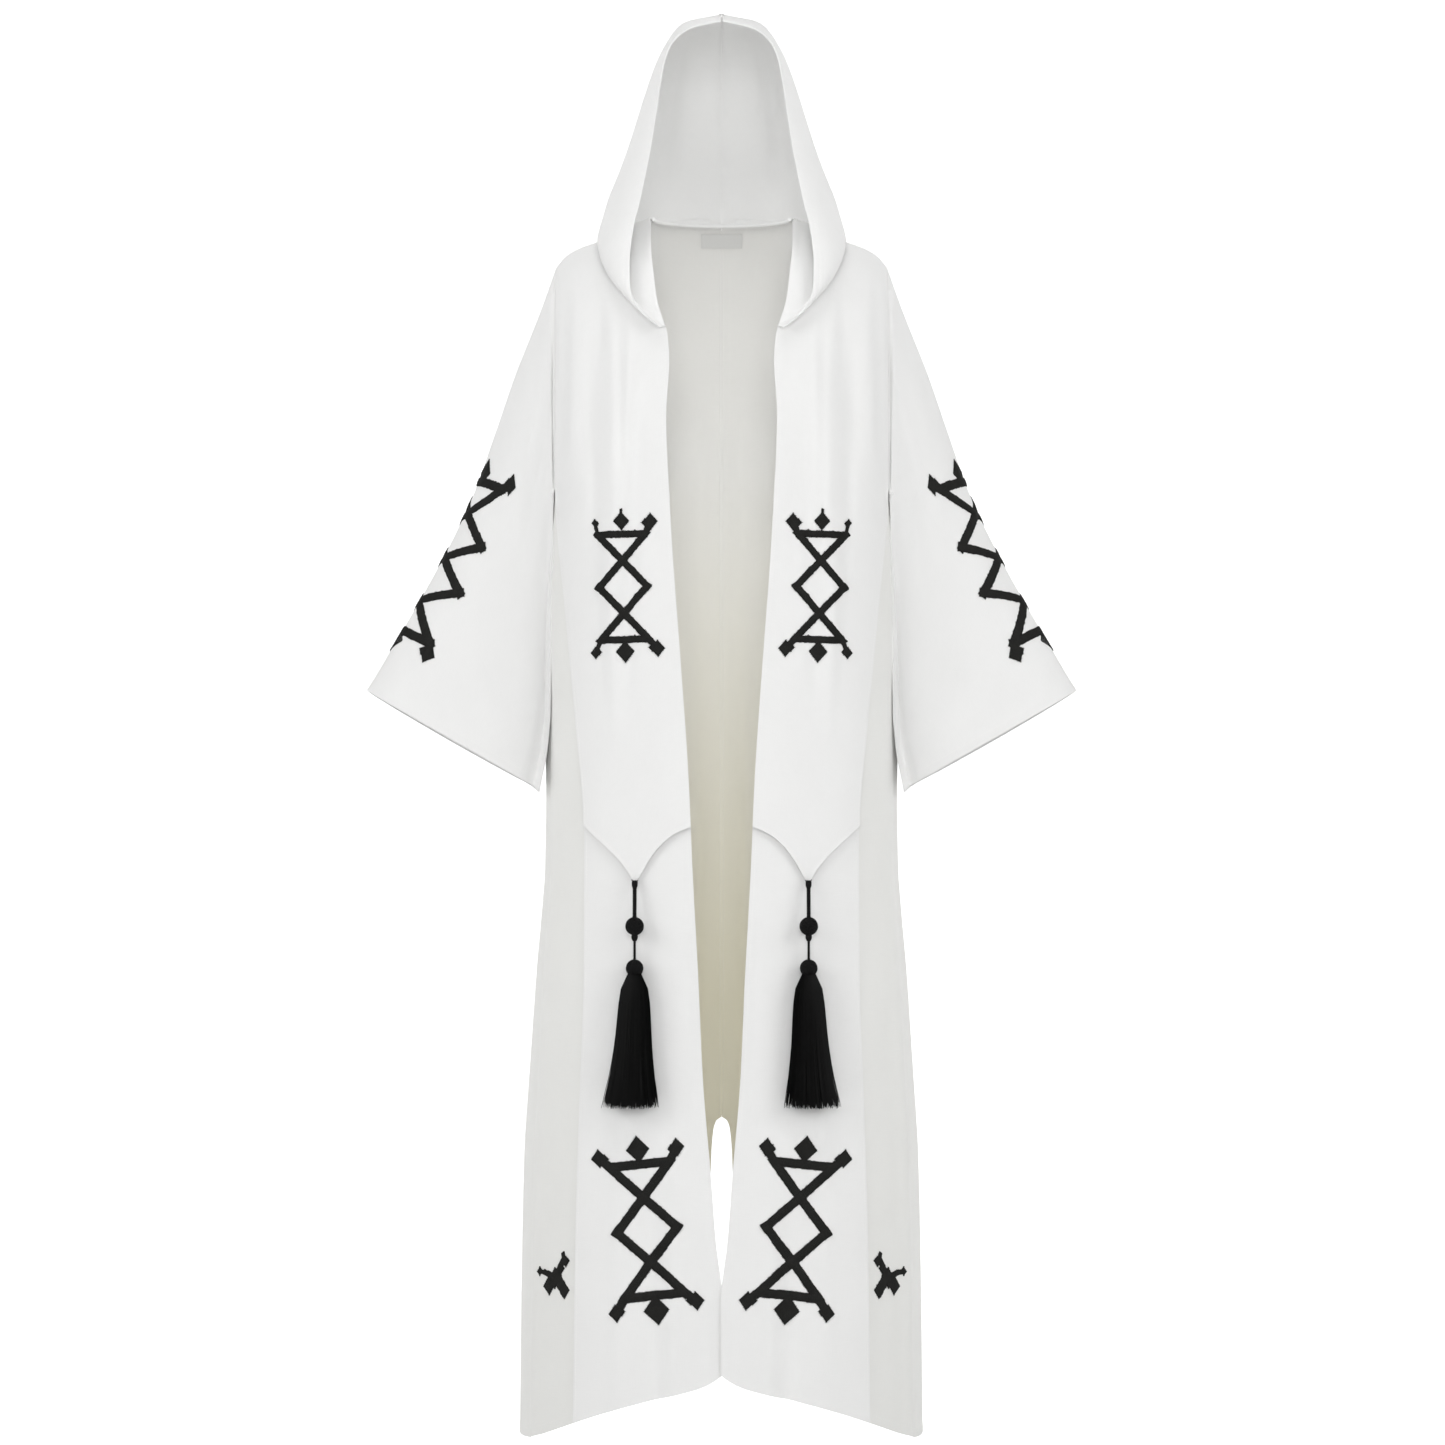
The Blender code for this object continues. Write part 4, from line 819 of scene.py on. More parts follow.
def gore_side(y, z):
    """How far out the gore reaches beside the sleeve."""
    depth = np.minimum(np.abs(y) / np.where(y < 0, front_at(z), back_at(z)), 1.0)
    turn = np.degrees(np.arccos(depth ** (ROUNDNESS / 2)))
    flat = half_width_at(z) * (1 - depth ** ROUNDNESS) ** (1 / ROUNDNESS)
    return flat - LAYER - GORE_CLEARANCE + gore_bulge(turn, z)


def armhole(hand, turns, under, is_under):
    """The armhole seam: down the front panel's edge, under the arm, up the back's."""
    top = top_height(np.array(ARMHOLE_HALF_WIDTH))
    drop = (1 - np.cos(turns)) / (1 - math.cos(UNDERARM_TURN))
    z = np.where(is_under, UNDERARM_HEIGHT, top + (UNDERARM_HEIGHT - top) * drop)
    edge = np.full_like(z, ARMHOLE_HALF_WIDTH)
    y = np.where(hand < 0, front_y(edge, z), back_y(edge, z))
    y = np.where(is_under, y * under, y)
    depth = np.where(hand < 0, front_at(z), back_at(z))
    around = half_width_at(z) * (1 - np.abs(y / depth) ** ROUNDNESS) ** (1 / ROUNDNESS)
    around = np.maximum(around - LAYER - GORE_CLEARANCE + UNDERARM_CLEARANCE, edge + SEAM)
    x = np.where(is_under, around, edge + SEAM)
    return np.stack([x, y, z], axis=-1)


def sleeve(side, rings=120, arm_steps=26, under_steps=14):
    """Sleeve from the armhole to the wide cuff, a flattened tube with a ridge on the outside.
    Every ring goes from the ridge down the front, in under the arm and up the back: turn and
    reach say how far round a point is, and hand is -1 in front and 1 behind."""
    shares = np.linspace(0.0, 1.0, len(SLEEVE))
    station = {name: Curve(shares, [getattr(row, name) for row in SLEEVE])
               for name in SLEEVE[0]._fields}
    turns = np.linspace(0.0, UNDERARM_TURN, arm_steps + 1)
    under = np.linspace(1.0, 0.0, under_steps + 1)[1:]
    flat = np.full(len(under), UNDERARM_TURN)
    turn = np.concatenate([turns, flat, flat[1:], turns[:0:-1]])
    reach = np.concatenate([turns * 0, under, under[-2::-1], turns[1:] * 0])
    hand = np.concatenate([-np.ones(len(turns) + len(under)),
                           np.ones(len(under) + len(turns) - 2)])
    is_under = np.concatenate([turns * 0, under * 0 + 1, under[1:] * 0 + 1, turns[1:] * 0]) > 0.5
    share = np.concatenate([[0.0], np.linspace(SECOND_RING, 1.0, rings - 1)])[:, None]
    outer = np.stack([station["outer_x"](share), share * 0, station["outer_z"](share)], axis=-1)
    inner = np.stack([station["inner_x"](share), share * 0, station["inner_z"](share)], axis=-1)
    blend = (1 - np.maximum(0.0, 1 - share / ARMHOLE_BLEND) ** 2)[..., None]
    square = UNDERARM_SQUARE + (CUFF_SQUARE - UNDERARM_SQUARE) * ease(share / SQUARE_LENGTH)
    corner = (1 + math.cos(UNDERARM_TURN)) / 2
    up = np.where(is_under, corner * reach ** 2, (1 + np.cos(turn)) / 2)[None, :]
    power = np.where(turn > math.pi / 2, square, 1.0)
    out = np.where(is_under, reach * math.sin(UNDERARM_TURN) ** square, np.sin(turn) ** power)
    depth = np.where(hand < 0, station["front"](share), station["back"](share))
    points = inner + (outer - inner) * up[..., None]
    points[..., 1] = hand * depth * out
    degrees = np.degrees(np.where(hand < 0, turn, 2 * math.pi - turn))[None, :]
    crease = np.zeros_like(depth)
    for row in SLEEVE_CREASES:
        centre = row.turn + (row.turn_end - row.turn) * share
        length = between(share, row.start, row.end, CREASE_END)
        crease += row.depth * length * bump(degrees, centre, row.width)
    crease *= 1.0 if side > 0 else RIGHT_CREASE_SHARE
    points[..., 1] += np.where(hand < 0, -crease, crease)
    lower = CUFF_DROP * np.sin(turn) * ease((share - CUFF_DROP_START) / CUFF_DROP_LENGTH)
    points[..., 2] -= np.where(hand < 0, 0.0, lower)
    points = armhole(hand, turn, reach, is_under)[None] * (1 - blend) + points * blend
    nose = points[..., 0].min(axis=1, keepdims=True)
    by_fold = bump(points[..., 0], nose, FOLD_WIDTH) * ease((FOLD_UP_TO - up) / FOLD_UP_FADE)
    below_arm = ease((UNDERARM_HEIGHT - points[..., 2]) / FOLD_REACH)
    by_fold = by_fold * ease(share / FOLD_START) * np.where(hand < 0, 1.0, below_arm)
    near_arm = ease((points[..., 2] - UNDERARM_HEIGHT + FOLD_TOP_REACH) / FOLD_TOP_FADE)
    points[..., 1] -= (points[..., 1] + FOLD_FORWARD + FOLD_FORWARD_TOP * near_arm) * by_fold
    beside = gore_side(points[..., 1], points[..., 2]) + FOLD_CLEARANCE
    below = ease((UNDERARM_HEIGHT - points[..., 2]) / CLEAR_FADE)
    points[..., 0] += np.maximum(beside - points[..., 0], 0.0) * below
    tube = Cloth(points, -1, ring=True)
    by_seam = bump(tube.from_edge("top"), SEAM_CREASE_AWAY, SEAM_CREASE_WIDTH)
    by_seam = by_seam * ease((degrees - SEAM_CREASE_FROM) / SEAM_CREASE_FROM_FADE)
    by_seam = by_seam * ease((SEAM_CREASE_TO - degrees) / SEAM_CREASE_TO_FADE)
    return tube.moved(by_seam * SEAM_CREASE_DEPTH)


# Creases of the hood. Across, start and end are shares of its width and length.
HOOD_CREASES = table(
    "across start end width depth",
    (0.30, 0.10, 0.75, 0.050, -0.0030),
    (0.52, 0.28, 0.85, 0.060, 0.0030),
    (0.72, 0.40, 0.95, 0.050, -0.0026),
    (0.16, 0.35, 0.90, 0.040, 0.0012),
)
HOOD_SMOOTHING = 24
HOOD_CREASE_HEIGHT = 0.045
HOOD_CREASE_FADE = 0.05
HOOD_SEAM_FADE = 0.12
# The hood comes off the shoulders over this distance from the neck seam
HOOD_RISE = 0.02


def clear_of_body(points, to_seam):
    """Moves points of the hood off the shoulders, straight out of the rounded section of the
    body below them, and less so near the neck seam."""
    x, y, z = np.moveaxis(points, -1, 0)
    rising = ease(to_seam / HOOD_RISE)
    clearance = HOOD_SEAM_CLEARANCE + (HOOD_CLEARANCE - HOOD_SEAM_CLEARANCE) * rising
    top = top_height(x)
    low = np.minimum(z, top - SHOULDER_ROUND)
    start = np.where(y < 0, 0.0, back_y(x, top))
    full = np.where(y < 0, front_y(x, low), back_y(x, low)) - start
    depth = (y - start) / full
    centre = top - SHOULDER_ROUND
    rise = np.maximum((z - centre) / SHOULDER_ROUND, 0.0)
    reach = np.hypot(depth, rise)
    size = np.hypot(depth * SHOULDER_ROUND, rise * np.abs(full))
    wanted = 1 + clearance / np.maximum(size, 1e-6) * reach
    grow = np.where((depth < 0) | (reach >= wanted), 1.0, wanted / np.maximum(reach, 1e-6))
    height = np.where(rise > 0, centre + (z - centre) * grow, z)
    return np.stack([x, start + (y - start) * grow, height], axis=-1)


def hood(side, rows=100, columns=56):
    """Half of the hood. Each line goes from the free front edge, out over the side and in to
    the neck seam, lying on the shoulder below it, or to the middle seam above the nape."""
    shares = np.linspace(0.0, 1.0, len(HOOD))
    curves = {(name, axis): Curve(shares, [getattr(row, name)[axis] for row in HOOD])
              for name in HOOD[0]._fields for axis in range(3)}
    angles = np.linspace(0.0, math.pi / 2, 25)
    grid = []
    for share in np.linspace(0.0, 1.0, rows):
        edge, turn, end = (np.array([curves[name, axis](share) for axis in range(3)])
                           for name in HOOD[0]._fields)
        fast = np.sin(angles)
        slow = 1 - np.cos(angles)
        even = (fast + slow) / 2
        first = edge + (turn - edge) * np.stack([fast, slow, even], axis=1)
        second = turn + (end - turn) * np.stack([slow, fast, even], axis=1)
        grid.append(evenly(np.concatenate([first, second[1:]]), columns))
    points = np.array(grid)
    for _ in range(HOOD_SMOOTHING):
        around = points[:-2, 1:-1] + points[2:, 1:-1] + points[1:-1, :-2] + points[1:-1, 2:]
        points[1:-1, 1:-1] = (4 * points[1:-1, 1:-1] + around) / 8
    points = clear_of_body(points, np.linalg.norm(points - points[:, -1:], axis=2))
    points[:, :, 0] = np.maximum(points[:, :, 0], SEAM / 2)
    cloth = Cloth(points, -1)
    down = np.linspace(0.0, 1.0, rows)[:, None]
    across = np.linspace(0.0, 1.0, columns)[None, :]
    crease = np.zeros((rows, columns))
    for row in HOOD_CREASES:
        length = between(down, row.start, row.end, CREASE_END)
        crease = crease + row.depth * length * bump(across, row.across, row.width)
    above = ease((points[:, :, 2] - HOOD_CREASE_HEIGHT) / HOOD_CREASE_FADE)
    from_seam = ease((1 - across) / HOOD_SEAM_FADE)
    crease *= above * from_seam * (1.0 if side > 0 else RIGHT_CREASE_SHARE)
    made = cloth.moved(crease)
    made.points[:, :, 0] = np.maximum(made.points[:, :, 0], SEAM / 2)
    return Cloth(made.points, -1)


# Shader nodes

class Socket:
    """A node's output that takes part in sums. Each sum adds one Math node."""

    def __init__(self, shader, socket):
        self.shader = shader
        self.socket = socket

    def maths(self, operation, *values):
        """A Math node of one operation, with its values in order."""
        settings = {"operation": operation}
        return self.shader.node("ShaderNodeMath", settings, dict(enumerate(values)))

    def __add__(self, other):
        return self.maths("ADD", self, other)

    def __radd__(self, other):
        return self.maths("ADD", other, self)

    def __sub__(self, other):
        return self.maths("SUBTRACT", self, other)

    def __rsub__(self, other):
        return self.maths("SUBTRACT", other, self)

    def __mul__(self, other):
        return self.maths("MULTIPLY", self, other)

    def __rmul__(self, other):
        return self.maths("MULTIPLY", other, self)

    def sine(self):
        """The sine of a value in radians."""
        return self.maths("SINE", self)

    def other(self, name):
        """Another output of the same node."""
        return Socket(self.shader, self.socket.node.outputs[name])


class Shader:
    """A material's node tree, built by calls."""

    def __init__(self, name):
        self.material = bpy.data.materials.new(name)
        self.material.use_nodes = True
        self.tree = self.material.node_tree
        self.surface = self.tree.nodes["Principled BSDF"]

    def node(self, kind, settings=None, inputs=None, output=0):
        """A node of a type, with its settings and the values or links of its sockets."""
        made = self.tree.nodes.new(kind)
        for name, value in (settings or {}).items():
            if name == "stops":
                ramp = made.color_ramp
                for number, (place, colour) in enumerate(value):
                    stop = ramp.elements[number] if number < 2 else ramp.elements.new(place)
                    stop.position = place
                    stop.color = colour
            else:
                setattr(made, name, value)
        for name, value in (inputs or {}).items():
            self.put(made.inputs[name], value)
        return Socket(self, made.outputs[output])

    def put(self, target, value):
        """Links a socket, or sets its value."""
        if isinstance(value, Socket):
            self.tree.links.new(value.socket, target)
        else:
            target.default_value = value

    def uv(self):
        """Distances across and down the cloth, in metres."""
        place = self.node("ShaderNodeUVMap", {"uv_map": "cloth"})
        across = self.node("ShaderNodeSeparateXYZ", inputs={"Vector": place})
        return place, across, across.other("Y")

    def noise(self, vector, scale, detail=2.0, stretch=None):
        """Noise between 0 and 1. stretch multiplies its place along each axis first."""
        if stretch:
            times = {"operation": "MULTIPLY"}
            vector = self.node("ShaderNodeVectorMath", times, {0: vector, 1: stretch})
        inputs = {"Vector": vector, "Scale": scale, "Detail": detail}
        return self.node("ShaderNodeTexNoise", inputs=inputs)

    def mix(self, share, low, high):
        """Between two colours, by share."""
        inputs = {0: share, 6: low, 7: high}
        return self.node("ShaderNodeMix", {"data_type": "RGBA"}, inputs, output=2)

    def finish(self, colour, roughness, height=None, distance=0.0002, strength=1.0, **fixed):
        """Fills the surface. fixed holds constant sockets, with _ for the spaces of their
        names."""
        self.put(self.surface.inputs["Base Color"], colour)
        self.put(self.surface.inputs["Roughness"], roughness)
        for name, value in fixed.items():
            self.surface.inputs[name.replace("_", " ")].default_value = value
        if height is not None:
            inputs = {"Height": height, "Distance": distance, "Strength": strength}
            self.put(self.surface.inputs["Normal"], self.node("ShaderNodeBump", inputs=inputs))
        return self.material


# Slubs are much longer along their own thread than across it
WARP_SLUBS = (1400.0, 60.0, 1.0)
WEFT_SLUBS = (60.0, 1400.0, 1.0)
# Between these distances down the cloth, its inner face takes more and more painted shade: a warm
# darker tint for the shade and bounced light inside the garment
PAINTED_SHADE_TOP = -0.30
PAINTED_SHADE_FOOT = -0.95
PAINTED_SHADE_LEAST = 0.12


def dimmed(colour, share):
    """A darker shade of a colour."""
    return tuple(level * share for level in colour[:3]) + (1.0,)


def muslin(name, colour, shade, pitch, inside=None):
    """Plain weave: threads over and under each other, with slubs, and a faint cloudiness.
    inside is a painted shade: the warm darker colour that its inner face takes towards the hem, for
    the shade and bounced light inside the garment."""
    shader = Shader(name)
    place, across, down = shader.uv()
    turns = 2 * math.pi / pitch
    wander = shader.noise(place, 90.0) * 1.4
    warp = (across * turns + wander).sine()
    weft = (down * turns + wander).sine()
    weave = warp * weft
    slub_warp = shader.noise(place, 1.0, 3.0, WARP_SLUBS)
    slub_weft = shader.noise(place, 1.0, 3.0, WEFT_SLUBS)
    cloudy = shader.noise(place, 14.0, 4.0)
    height = weave * 0.5 + (slub_warp + slub_weft) * 0.9
    tone = (cloudy - 0.5) * 0.5 + (slub_warp + slub_weft - 1.0) * 0.6 + 0.5
    weave_and_painted_shade = shader.mix(tone, dimmed(colour, shade), colour)
    # Painted shade: where the inner face turns forward, its colour goes over to the warm darker
    # inside colour, more so towards the hem
    if inside:
        facing = shader.node("ShaderNodeNewGeometry", output=1)
        backwards = shader.node("ShaderNodeSeparateXYZ", inputs={"Vector": facing}).other("Y")
        depth = shader.node("ShaderNodeMapRange", inputs={
            "Value": down, "From Min": PAINTED_SHADE_TOP, "From Max": PAINTED_SHADE_FOOT, "To Min": PAINTED_SHADE_LEAST})
        shade_facing = backwards * -1.0
        shade_facing = shade_facing.maths("MAXIMUM", shade_facing, 0.0)
        weave_and_painted_shade = shader.mix(depth * shade_facing, weave_and_painted_shade, inside)
    return shader.finish(weave_and_painted_shade, tone * -0.08 + 0.92, height, 0.00016, 0.55,
                         Sheen_Weight=0.25, Sheen_Roughness=0.5, Specular_IOR_Level=0.25)


def yarn(name, colour, light, roughness, scale):
    """Dark thread: fine streaks of fibre over its own colour."""
    shader = Shader(name)
    place = shader.node("ShaderNodeTexCoord", output=3)
    fine = shader.noise(place, scale, 3.0)
    broad = shader.noise(place, scale / 9)
    tone = fine * 0.7 + broad * 0.5 - 0.1
    streaked = shader.mix(tone, colour, light)
    return shader.finish(streaked, fine * 0.25 + roughness, fine, 0.0002, 0.5,
                         Specular_IOR_Level=0.14)


def plain(name, colour, roughness):
    """One colour, with hardly any cloudiness."""
    shader = Shader(name)
    place = shader.node("ShaderNodeTexCoord", output=3)
    faint = shader.noise(place, 3.0)
    return shader.finish(shader.mix(faint, dimmed(colour, 0.99), colour), roughness)


# Settings

class ClothSettings(bpy.types.PropertyGroup):
    """Sizes and colours of the muslin."""
    colour: bpy.props.FloatVectorProperty(
        name="Cloth colour", description="Colour of the muslin", subtype="COLOR", size=4,
        default=srgb(242, 242, 241), min=0.0, max=1.0)
    # The gores' colour is a little darker and warmer than the muslin's: painted shade of the sides,
    # which turn away from the light
    gore_shaded_colour: bpy.props.FloatVectorProperty(
        name="Gore colour", description="Colour of the side gores", subtype="COLOR", size=4,
        default=srgb(238, 238, 235), min=0.0, max=1.0)
    weave: bpy.props.FloatProperty(
        name="Weave pitch", description="Width of two threads", default=0.0011, unit="LENGTH")
    thickness: bpy.props.FloatProperty(
        name="Cloth thickness", description="Thickness of one layer", default=0.0009, unit="LENGTH")
    hem: bpy.props.FloatProperty(
        name="Hem width", description="Width of the turned-in hems", default=0.012, unit="LENGTH")
    stitch: bpy.props.FloatProperty(
        name="Stitch length", description="Distance from one stitch to the next", default=0.0034,
        unit="LENGTH")


class FigureSettings(bpy.types.PropertyGroup):
    """Sizes and colour of the embroidered figures."""
    colour: bpy.props.FloatVectorProperty(
        name="Thread colour", description="Colour of the embroidery", subtype="COLOR", size=4,
        default=srgb(20, 20, 19), min=0.0, max=1.0)
    pitch: bpy.props.FloatProperty(
        name="Thread pitch", description="Distance between threads", default=0.00075, unit="LENGTH")
    rise: bpy.props.FloatProperty(
        name="Rise", description="How far the threads stand out", default=0.0010, unit="LENGTH")


class TasselSettings(bpy.types.PropertyGroup):
    """Sizes and colour of the tassels."""
    colour: bpy.props.FloatVectorProperty(
        name="Yarn colour", description="Colour of the tassels", subtype="COLOR", size=4,
        default=srgb(7, 7, 7), min=0.0, max=1.0)
    strands: bpy.props.IntProperty(
        name="Strands", description="Threads in one tassel", default=640, min=50, max=1200)
    strand_radius: bpy.props.FloatProperty(
        name="Strand radius", description="Radius of one thread", default=0.00055, unit="LENGTH")


# Finishes shared by several pieces

def finish_of(kind):
    """The material of one kind, made the first time it is asked for."""
    found = bpy.data.materials.get("kaftan_" + kind)
    if found:
        return found
    scene = bpy.context.scene
    cloth = scene.kaftan_cloth
    kinds = {
        "muslin": (muslin, tuple(cloth.colour), 0.93, cloth.weave),
        # The back's inner face takes a painted warm shade towards the hem
        "back": (muslin, tuple(cloth.colour), 0.93, cloth.weave, srgb(226, 221, 200)),
        # Painted shade: the gores take a darker, warmer copy of the muslin colour
        "gore": (muslin, tuple(cloth.gore_shaded_colour), 0.93, cloth.weave),
        "thread": (plain, srgb(246, 246, 243), 0.6),
        "label": (muslin, srgb(226, 226, 224), 0.95, 0.0008),
        "figure": (yarn, tuple(scene.kaftan_figure.colour), srgb(44, 44, 42), 0.6, 900.0),
        "tassel": (yarn, tuple(scene.kaftan_tassel.colour), srgb(19, 19, 19), 0.5, 700.0),
    }
    make, *values = kinds[kind]
    return make("kaftan_" + kind, *values)


# Hems, seams and stitches

HEM_RISE = 0.00045
HOOD_HEM_RISE = 0.0007
HEM_FADE = 0.0025
# Stitches of a hem lie this far from its inner edge, in a dip
STITCH_INSET = 0.0015
STITCH_DIP = 0.9
STITCH_DIP_WIDTH = 0.0016
# Stitches along a seam lie this far from it, and its allowance thickens the cloth there
SEAM_INSET = 0.003
SEAM_RISE = 0.0005
SEAM_FELL_HALF_WIDTH = 0.0027
SEAM_FELL_HEIGHT = 0.0007
SEAM_FELL_GAP = 0.0001
SEAM_FELL_FORM = ((-1.0, 0.0), (-0.92, 0.8), (-0.55, 1.0), (-0.5, 0.55),
                  (0.5, 0.55), (0.55, 1.0), (0.92, 0.8), (1.0, 0.0))
BACK_SEAM_END = -1.058
# Share of the hem's width that the hood's edge takes
HOOD_HEM = 0.75


def turned_in(away, width, rise=HEM_RISE):
    """Extra height of cloth that is turned in at an edge, with a dip along the stitching."""
    dip = rise * STITCH_DIP * bump(away, width - STITCH_INSET, STITCH_DIP_WIDTH)
    return rise * (1 - ease((away - width) / HEM_FADE)) - dip


def hem_lift(cloth, edges, width):
    """Extra height of the hems along several edges."""
    return np.maximum.reduce([turned_in(cloth.from_edge(edge), width) for edge in edges])


def seam_ridge(cloth, edge):
    """Extra thickness of the allowance beside a seam."""
    return SEAM_RISE * bump(cloth.from_edge(edge), SEAM_INSET, SEAM_INSET)


def seam_strip(name, path, out, finish):
    """A flat felled seam: a low rounded strip along a path, on the inside of the cloth."""
    across = np.array([1.0, 0.0, 0.0]) * SEAM_FELL_HALF_WIDTH
    grid = np.stack([path + across * over + out * SEAM_FELL_HEIGHT * rise
                     for over, rise in SEAM_FELL_FORM], axis=1)
    faces = tube_faces(len(path), len(SEAM_FELL_FORM))
    uvs = np.stack([grid[..., 0], grid[..., 2] - grid[0, 0, 2]], axis=2).reshape(-1, 2)
    return add_mesh(name, grid.reshape(-1, 3), faces, finish, 1, uvs, sharp=30)


# Height of a stitch over the cloth and its radius, at its ends and its middle
STITCH_HEIGHTS = (0.00002, 0.00022, 0.00002)
STITCH_RADII = (0.00008, 0.00024, 0.00008)
# Half of a stitch as a share of the distance from one to the next
STITCH_HALF = 0.34


def stitching(name, cloth_lines, side, length):
    """Rows of small stitches, joined in one piece. Each row is a cloth, one of its edges and
    the distance from it."""
    parts = []
    for cloth, edge, distance in cloth_lines:
        points, normals = cloth.line(edge, distance, length)
        half = unit(np.gradient(points, axis=0)) * length * STITCH_HALF
        path = np.stack([points - half, points, points + half], axis=1)
        path += normals[:, None] * np.array(STITCH_HEIGHTS)[None, :, None]
        parts.append(tubes(path, normals[:, None], STITCH_RADII, 4))
    points, faces = joined(parts)
    return add_mesh(name, points, faces, finish_of("thread"), side)


class KaftanOperator:
    """What the operators of the garment share."""
    bl_options = {"REGISTER", "UNDO"}

    def execute(self, context):
        self.build(context.scene.kaftan_cloth, context.scene)
        return {"FINISHED"}


class KAFTAN_OT_fronts(KaftanOperator, bpy.types.Operator):
    """Upper and lower fronts, with their hems"""
    bl_idname = "kaftan.fronts"
    bl_label = "Fronts"

    def build(self, cloth, scene):
        for label, side in SIDES:
            upper = upper_front(side).cloth
            lift = hem_lift(upper, ("first", "bottom"), cloth.hem / 2)
            piece = shell("cloth_front_upper_" + label, upper, cloth, finish_of("muslin"),
                          side, lift)
            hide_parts("front_upper_" + label)
            lower = lower_front(side).cloth
            lift = hem_lift(lower, ("first", "bottom"), cloth.hem / 2)
            piece = shell("cloth_front_lower_" + label, lower, cloth, finish_of("muslin"),
                          side, lift)
            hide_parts("front_lower_" + label)
            inset = cloth.hem / 2 - STITCH_INSET
            edges = (("first", inset), ("bottom", inset), ("last", SEAM_INSET))
            lines = [(part, *edge) for part in (upper, lower) for edge in edges]
            stitching("stitches_front_" + label, lines, side, cloth.stitch)


class KAFTAN_OT_back(KaftanOperator, bpy.types.Operator):
    """Both halves of the back"""
    bl_idname = "kaftan.back"
    bl_label = "Back"

    def build(self, cloth, scene):
        for label, side in SIDES:
            half = back(side).cloth
            lift = hem_lift(half, ("bottom",), cloth.hem)
            piece = shell("cloth_back_" + label, half, cloth, finish_of("back"), side,
                          lift, cloth.thickness + seam_ridge(half, "first"))
            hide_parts("back_" + label)
            lines = [(half, "bottom", cloth.hem - STITCH_INSET), (half, "last", SEAM_INSET)]
            stitching("stitches_back_" + label, lines, side, cloth.stitch)
        z = np.linspace(NAPE_HEIGHT - SEAM_INSET, BACK_SEAM_END, 160)
        middle = np.zeros_like(z)
        depth = back_y(middle, z) + (crease_height(BACK_CREASES, middle, z, 1)
                                     + crease_height(BACK_CREASES, middle, z, -1)) / 2
        path = np.stack([middle, depth - cloth.thickness - SEAM_FELL_GAP, z], axis=1)
        seam_strip("seam_back", path, np.array([0.0, -1.0, 0.0]), finish_of("back"))


class KAFTAN_OT_gores(KaftanOperator, bpy.types.Operator):
    """Side gores"""
    bl_idname = "kaftan.gores"
    bl_label = "Side gores"

    def build(self, cloth, scene):
        for label, side in SIDES:
            gore = side_gore(side)
            lift = hem_lift(gore, ("bottom",), cloth.hem)
            piece = shell("cloth_gore_" + label, gore, cloth, finish_of("gore"),
                          side, lift)
            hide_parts("side_gore_" + label)
            lines = [(gore, "bottom", cloth.hem - STITCH_INSET)]
            stitching("stitches_gore_" + label, lines, side, cloth.stitch)


class KAFTAN_OT_sleeves(KaftanOperator, bpy.types.Operator):
    """Wide sleeves"""
    bl_idname = "kaftan.sleeves"
    bl_label = "Sleeves"

    def build(self, cloth, scene):
        for label, side in SIDES:
            tube = sleeve(side)
            lift = hem_lift(tube, ("bottom",), cloth.hem)
            piece = shell("cloth_sleeve_" + label, tube, cloth, finish_of("muslin"),
                          side, lift)
            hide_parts("sleeve_" + label)
            lines = [(tube, "bottom", cloth.hem - STITCH_INSET), (tube, "top", SEAM_INSET)]
            stitching("stitches_sleeve_" + label, lines, side, cloth.stitch)


class KAFTAN_OT_hood(KaftanOperator, bpy.types.Operator):
    """Hood in two halves"""
    bl_idname = "kaftan.hood"
    bl_label = "Hood"

    def build(self, cloth, scene):
        for label, side in SIDES:
            half = hood(side)
            hem = cloth.hem * HOOD_HEM
            lift = turned_in(half.from_line(half.points[:, 0]), hem, HOOD_HEM_RISE)
            piece = shell("cloth_hood_" + label, half, cloth, finish_of("muslin"), side,
                          lift, cloth.thickness + seam_ridge(half, "last"))
            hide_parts("hood_" + label)
            lines = [(half, "first", hem - STITCH_INSET)]
            stitching("stitches_hood_" + label, lines, side, cloth.stitch)
        down = [row for row in range(len(half.points)) if half.points[row, -1, 0] < 0.001]
        path = half.points[down, -1] * np.array([0.0, 1.0, 1.0])
        inwards = unit(half.normals[down, -1] * np.array([0.0, 1.0, 1.0])) * -1
        path = path + inwards * (cloth.thickness + SEAM_FELL_GAP)
        seam_strip("seam_hood", path, inwards, finish_of("muslin"))


# Embroidered figures

# Sizes of the figures, all from a figure's middle. The outer side is the one away from the
# front opening. A knob is the end of a hooked arm, and a nub the stub beyond an end's diamond.
Knob = namedtuple("Knob", "out up width size")
MotifEnd = namedtuple("MotifEnd", "outer inner diamond_up diamond nub")
Motif = namedtuple("Motif", "half_width corner crossing band crossings top bottom")


def even_end(knob, diamond_up, diamond):
    """An end with the same knob on both sides, and no nub."""
    return MotifEnd(knob, knob, diamond_up, diamond, 0.0)


